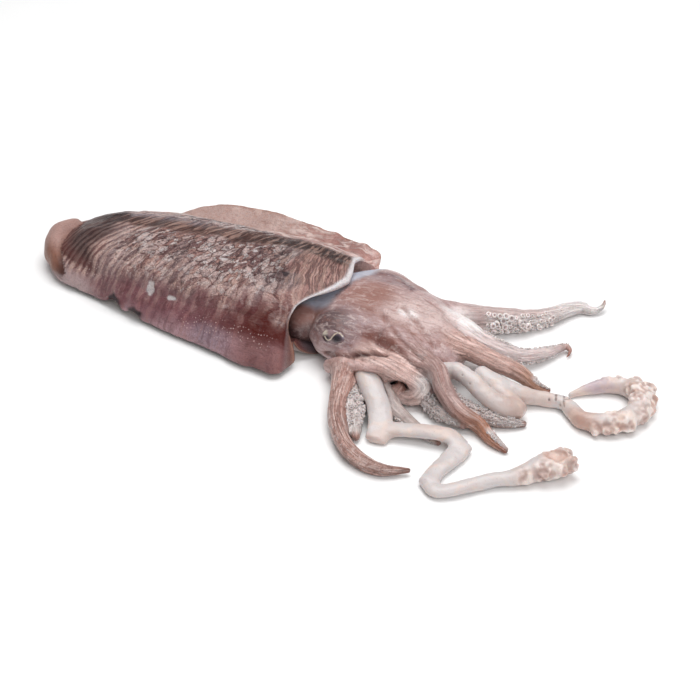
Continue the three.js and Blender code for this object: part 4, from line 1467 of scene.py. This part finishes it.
def paint_head(points, arm, share, turn, on_arm, fold):
    """Ground colours of the head and arms, and how strongly they are streaked."""
    x, y, z = points.T
    cloud = fractal(points, 14, 41)
    head = Ground(points, FLESH, FLESH["head"])
    head.tint("brown", 0.5 * ramp(cloud, 0.0, 0.6))
    head.blot("grey", 1, (106, -40, 20), (22, 20, 16), 0.6)
    head.blot("bulge", 0.95, (96, -36, 27), (13, 11, 9), 0.6)
    head.blot("bulge_low", 1, (97, -43, 8), (13, 9, 8), 0.6)
    head.blot("brown", 0.8, (112, -10, 35), (16, 12, 8), 0.6)
    head.line("brown", 0.7, [(112, -22, 33), (128, -26, 33), (146, -32, 30)], 6)
    head.blot("pale", 0.9, (144, -14, 32), (20, 14, 9), 0.6)
    head.line("furrow", 1, [(122, -40, 26), (138, -46, 28), (151, -52, 27)], 9)
    head.blot("grey", 0.9, (112, 13, 31), (18, 9, 9))
    far_bulge = [(100, 15, 31), (109, 18, 30), (117, 16, 30), (122, 13, 30.5), (127, 8, 31.5)]
    head.line("purple", 0.9, far_bulge, 4)
    head.blot("white", 1, (137, -18, 33.5), (6, 3.5, 4))
    head.line("web", 0.7, np.array(COLLAR)[:, :3], 9)
    head.line("white", 0.8, [(106, -27, 32), (114, -20, 34), (119, -12, 35)], 1.6)
    crown = blot(points, (161, 5, 22), (13, 13, 12), 0.5)
    white = np.maximum(crown, blot(points, (168, -2, 26), (9, 7, 9), 0.4))
    head.tint("white", white)
    # In the mantle's mouth the neck is painted dark, painted shade that lightens higher up; the pale blue on
    # top is its own colour.
    neck = 1 - ramp(x - 0.3 * y + 2 * cloud, 90, 97)
    head.tint("neck", neck)
    head.tint("neck_top", neck * ramp(z, 14, 21))
    head.tint("neck_blue", neck * ramp(y, -27, -20) * ramp(z, 18, 24))
    roots, tips, strengths, starts = (np.array(column) for column in zip(*ARM_SKIN.values()))
    to_tip = ramp(share, starts[arm], starts[arm] + 0.3)[:, None]
    limb = Ground(points, FLESH, lerp(roots[arm], tips[arm], to_tip))
    limb.tint("tip", 0.7 * ramp(share, 0.93, 1.0))
    limb.tint("furrow", 0.2 * ramp(-np.sin(turn), 0.2, 0.9))
    # A painted highlight: white on the outer end of the curled arm.
    limb.blot("white", 1, (165, -55, 14), (6, 6, 8), 0.6)
    limb.tint("white", white)
    limb.tint("sucker_bed", sucker_bed(arm, share, turn))
    head.lay(limb.shades, on_arm)
    # The folds are painted darker: furrow brown on their flanks, partly the skin's own colour and partly
    # painted shade, and painted shade deep in them.
    head.tint("furrow", 0.5 * ramp(fold, 0.1, 0.45))
    head.tint("crease", 0.9 * ramp(fold, 0.45, 0.9))
    strength = lerp(0.55, strengths[arm], on_arm)
    return head.shades, strength * (1 - 0.8 * np.maximum(neck * (1 - on_arm), white))


def make_tentacle(side):
    routes = tentacle_routes[side]
    places = np.vstack([route.places for route in routes])
    field = Field(places.min(0) - TENTACLE_ROOM, places.max(0) + TENTACLE_ROOM, CELL["tentacle"])
    flesh = field.tubes(routes, SOFTNESS["strand"])
    for *middle, half in LUMPS[side]:
        lump = field.ellipsoid(middle, (half, half, half * LUMP_HEIGHT))
        flesh = smooth_union(flesh, lump, SOFTNESS["lump"])
    points, quads = field.mesh(np.maximum(flesh, -field.ellipsoid(*SPOON)))
    club = np.maximum.reduce([blot(points, middle, (half + 3,) * 3, 0.4) for *middle, half in LUMPS[side]])
    creases = np.maximum.reduce([near_line(points, line, CREASE["half_width"]) for line in CREASES[side]])
    curls = rough(points, CLUB_CURLS)
    relief = lerp(rough(points, TENTACLE_RELIEF), CURL_HEIGHT * curls, club)
    points = raised(points, quads, relief - CREASE["depth"] * creases)
    skin = Ground(points, FLESH, FLESH["ivory"])
    skin.tint("peach", 0.5 * ramp(fractal(points, 20, 54), 0.0, 0.7))
    skin.blot("fold", 0.8, (212, -43, 7), (14, 10, 9))
    skin.tint("club", club)
    skin.tint("club_orange", 0.6 * club * ramp(noise(points, 6, 56), 0.2, 0.7))
    skin.tint("club_white", 0.9 * club * ramp(curls, 0.0, 0.5))
    # Painted shade: darker in the gaps between the club's raised curls.
    skin.tint("club_gap", 0.6 * club * ramp(-curls, 0.15, 0.7))
    skin.blot("club_orange", 0.7, SPOON[0], np.array(SPOON[1]) * 1.05, 0.15)
    skin.blot("mauve", 0.8, (246, 0, 6), (10, 6, 5))
    skin.blot("rosy", 0.9, (250, -34, 5), (11, 7, 6))
    # Painted shade darkens the creases across the folds.
    skin.tint("wrinkle", 0.9 * ramp(creases, 0.3, 0.9))
    piece = make_mesh(f"tentacle_{side}_flesh", points, quads, skin.shades)
    place(piece, f"tentacle_{side}", "tentacle_flesh", tentacle_material())


# Suckers

# Each row: arm, start and end as shares of its length, facing in degrees (0 to its side, 90 up), spread
# of the rows in degrees, rows, largest half width, and shade.
SUCKER_ROWS = [
    ("right_fourth_inner", 0.4, 0.85, 100, 130, 5, 1.7, 0.85),
    ("left_fourth", 0.5, 0.95, 190, 50, 2, 1.0, 0.85),
    ("right_second_inner", 0.15, 0.85, 100, 150, 5, 1.5, 0.75),
    ("right_second", 0.86, 0.97, 60, 90, 2, 1.0, 0.9),
    ("left_third", 0.42, 0.97, 120, 110, 4, 1.4, 0.8),
    ("right_first", 0.45, 0.9, -14, 60, 2, 1.1, 0.9),
    ("right_first", 0.84, 0.98, 60, 80, 2, 1.1, 0.9),
    ("left_first", 0.3, 0.9, 20, 50, 2, 1.1, 1.0),
    ("left_first", 0.42, 0.8, 214, 40, 2, 1.0, 1.0),
    ("left_second", 0.3, 0.62, 196, 120, 6, 1.9, 1.15),
]


def sucker_bed(arm, share, turn):
    """Where the arms' skin is the pale bed of a row of suckers."""
    bed = np.zeros(len(arm))
    names = list(ARMS)
    for name, start, end, facing, spread, *_ in SUCKER_ROWS:
        off = np.abs((np.degrees(turn) - facing + 180) % 360 - 180)
        across = 1 - ramp(off, spread / 2, spread / 2 + 20)
        along = ramp(share, start - 0.03, start + 0.02) * (1 - ramp(share, end, end + 0.05))
        bed = np.maximum(bed, (arm == names.index(name)) * across * along)
    return bed


# Half of a sucker's section, from its stalk over the rim into the hollow, in units of its half width,
# and how deep in the hollow each of those points is.
SUCKER_OUTLINE = [
    (0.6, -0.8, 0), (0.86, -0.1, 0), (1.0, 0.45, 0), (0.9, 0.85, 0), (0.62, 0.9, 0.1), (0.4, 0.68, 0.9),
    (0.04, 0.6, 1),
]


# How the suckers are scattered: the seed, how far each slips round the arm in degrees and leans, its size
# and shade at random, the size at the arm's tip, the share that is missing, and the spacing in half widths.
SCATTER = {
    "seed": 7, "slip": 6, "lean": 0.2, "sizes": (0.55, 1.25), "shades": (0.75, 1.05), "tip": 0.4,
    "missing": 0.1, "spacing": 1.9,
}


def sucker_shape(around=10):
    """A cup on a short stalk: points, faces and how deep in the hollow each point is."""
    angle = 2 * np.pi * np.arange(around) / around
    rings = [[(r * math.cos(a), r * math.sin(a), h) for a in angle] for r, h, _ in SUCKER_OUTLINE]
    hollow = np.repeat([depth for _, _, depth in SUCKER_OUTLINE], around)
    return np.array(rings).reshape(-1, 3), closed_grid(len(SUCKER_OUTLINE), around), hollow


def scatter_suckers():
    """All the suckers on the arms, as one piece."""
    rng = np.random.default_rng(SCATTER["seed"])
    shape, shape_faces, hollow = sucker_shape()
    # The cups are painted greyer deeper in their hollows: painted shade.
    cup = lerp(FLESH["sucker"], FLESH["hollow"], hollow[:, None])
    points, faces, colours = [], [], []
    for name, start, end, facing, spread, rows, size, shade in SUCKER_ROWS:
        route = arm_routes[name]
        run = start * route.length
        while run < end * route.length:
            radius = size * lerp(1, SCATTER["tip"], ramp(run / route.length, start, 1.0))
            for row in range(rows):
                i = np.searchsorted(route.run, run + radius * (row % 2)).clip(0, len(route.run) - 1)
                offset = (row - (rows - 1) / 2) / max(rows - 1, 1)
                turn = facing + spread * offset + rng.normal(0, SCATTER["slip"])
                middle, out = route.on_skin(i, math.radians(turn))
                half = radius * rng.uniform(*SCATTER["sizes"])
                if middle[2] < half / 2 or rng.random() < SCATTER["missing"]:
                    continue
                out = out + rng.normal(0, SCATTER["lean"], 3)
                out /= np.linalg.norm(out)
                across = np.cross(out, route.along[i])
                across /= np.linalg.norm(across)
                axes = np.stack([across, np.cross(out, across), out])
                faces.append(shape_faces + len(points) * len(shape))
                points.append(middle + shape @ axes * half)
                colours.append(cup * shade * rng.uniform(*SCATTER["shades"]))
            run += radius * SCATTER["spacing"]
    points = on_table(np.vstack(points))
    piece = make_mesh("arm_suckers", points, np.vstack(faces), np.vstack(colours))
    place(piece, None, "tentacle_flesh", sucker_material())


# Eyes

# The dark of the pupil as ellipses, and the pale line over it, in millimetres on the lens.
PUPIL = [((-4.6, -1.6), (2.4, 1.9)), ((1.8, -0.5), (3.2, 2.5))]
PUPIL_LINES = [
    [(-5.4, -0.6), (-4.4, -1.9), (-2.9, -2.4), (-1.5, -1.5), (-0.6, 0.3), (0.4, 1.8), (1.6, 2.8)],
    [(2.4, 2.9), (3.8, 2.4), (5.0, 1.4)],
]
IRIS = palette(
    skin=(146, 122, 124), dark=(40, 32, 40), cream=(214, 198, 178), gleam=(196, 186, 172),
    lilac=(120, 98, 116),
)
EYE_RINGS = 60
EYE_AROUND = 96


def make_eye(side):
    eye = eyes[side]
    polar = np.pi * (np.arange(EYE_RINGS) + 0.5)[:, None] / EYE_RINGS
    angle = 2 * np.pi * np.arange(EYE_AROUND)[None, :] / EYE_AROUND
    unit = np.broadcast_arrays(np.sin(polar) * np.cos(angle), np.cos(polar), np.sin(polar) * np.sin(angle))
    unit = np.stack(unit, axis=-1).reshape(-1, 3)
    local = np.vstack([unit, [[0, 1, 0], [0, -1, 0]]]) * EYE_RADII
    points = eye.middle + local @ eye.turn
    lens = Ground(local * (1, 0, 1), IRIS, IRIS["skin"])
    lens.blot("gleam", 1, (-6.0, 0, 1.4), (1.8, 1, 1.8), 0.6)
    lens.blot("lilac", 1, (4.2, 0, 1.2), (2.6, 1, 2.0), 0.6)
    for (across, rise), (half_width, half_height) in PUPIL:
        lens.blot("dark", 1, (across, 0, rise), (half_width, 1, half_height), 0.6)
    for line in PUPIL_LINES:
        lens.line("cream", 1, [(across, 0, rise) for across, rise in line], 0.6)
    faces = closed_faces(EYE_RINGS, EYE_AROUND)
    if np.linalg.det(eye.turn) < 0:
        faces = [face[::-1] for face in faces]
    piece = make_mesh(f"eye_{side}_lens", points, faces, lens.shades)
    place(piece, f"eye_{side}", "eye", eye_material())


# Stage

# Lights: place from the middle of the view in metres, size in metres, and watts.
LIGHTS = {"key": ((-0.1, 0.3, 1.2), 1.1, 14.5), "front": ((0.8, -0.7, 0.9), 0.9, 7)}
WORLD_STRENGTH = 0.29
# The floor's size and how far it lies below the table's height, in metres.
FLOOR = {"size": 8, "drop": 0.0004}


def make_floor():
    bpy.ops.mesh.primitive_plane_add(size=FLOOR["size"], location=(0, 0, -FLOOR["drop"]))
    floor = bpy.context.object
    floor.name = "floor"
    paint = Paint("floor")
    cloud = paint.noise(paint.place(), 0.3, 2)
    colour = paint.over(rgb(247, 247, 247), rgb(251, 251, 251), cloud)
    floor.data.materials.append(paint.finish(colour, paint.total((cloud, 0.1), (0.8,)), cloud, 0.0001))


def aimed(name, data, offset):
    """An object at an offset from the middle of the view in metres, turned to face it."""
    thing = bpy.data.objects.new(name, data)
    thing.location = Vector(VIEW["target"]) * MM + offset
    thing.rotation_euler = (-offset).to_track_quat("-Z", "Y").to_euler()
    bpy.context.scene.collection.objects.link(thing)
    return thing


def make_stage():
    """The floor, an even white surround, two soft lights and the camera."""
    make_floor()
    scene = bpy.context.scene
    scene.world = bpy.data.worlds.new("studio")
    scene.world.use_nodes = True
    background = scene.world.node_tree.nodes["Background"]
    background.inputs["Color"].default_value = (1, 1, 1, 1)
    background.inputs["Strength"].default_value = WORLD_STRENGTH
    for name, (offset, size, power) in LIGHTS.items():
        lamp = bpy.data.lights.new(name, "AREA")
        lamp.size = size
        lamp.energy = power
        aimed(name, lamp, Vector(offset))
    azimuth, elevation = math.radians(VIEW["azimuth"]), math.radians(VIEW["elevation"])
    flat = math.cos(elevation)
    back = Vector((math.sin(azimuth) * flat, -math.cos(azimuth) * flat, math.sin(elevation)))
    lens = bpy.data.cameras.new("camera")
    lens.lens = VIEW["lens"]
    lens.sensor_width = VIEW["sensor"]
    scene.camera = aimed("camera", lens, back * VIEW["distance"] * MM)
    scene.view_settings.view_transform = "Standard"


make_stage()
make_mantle()
make_head()
for side in ("right", "left"):
    make_tentacle(side)
    make_eye(side)
scatter_suckers()
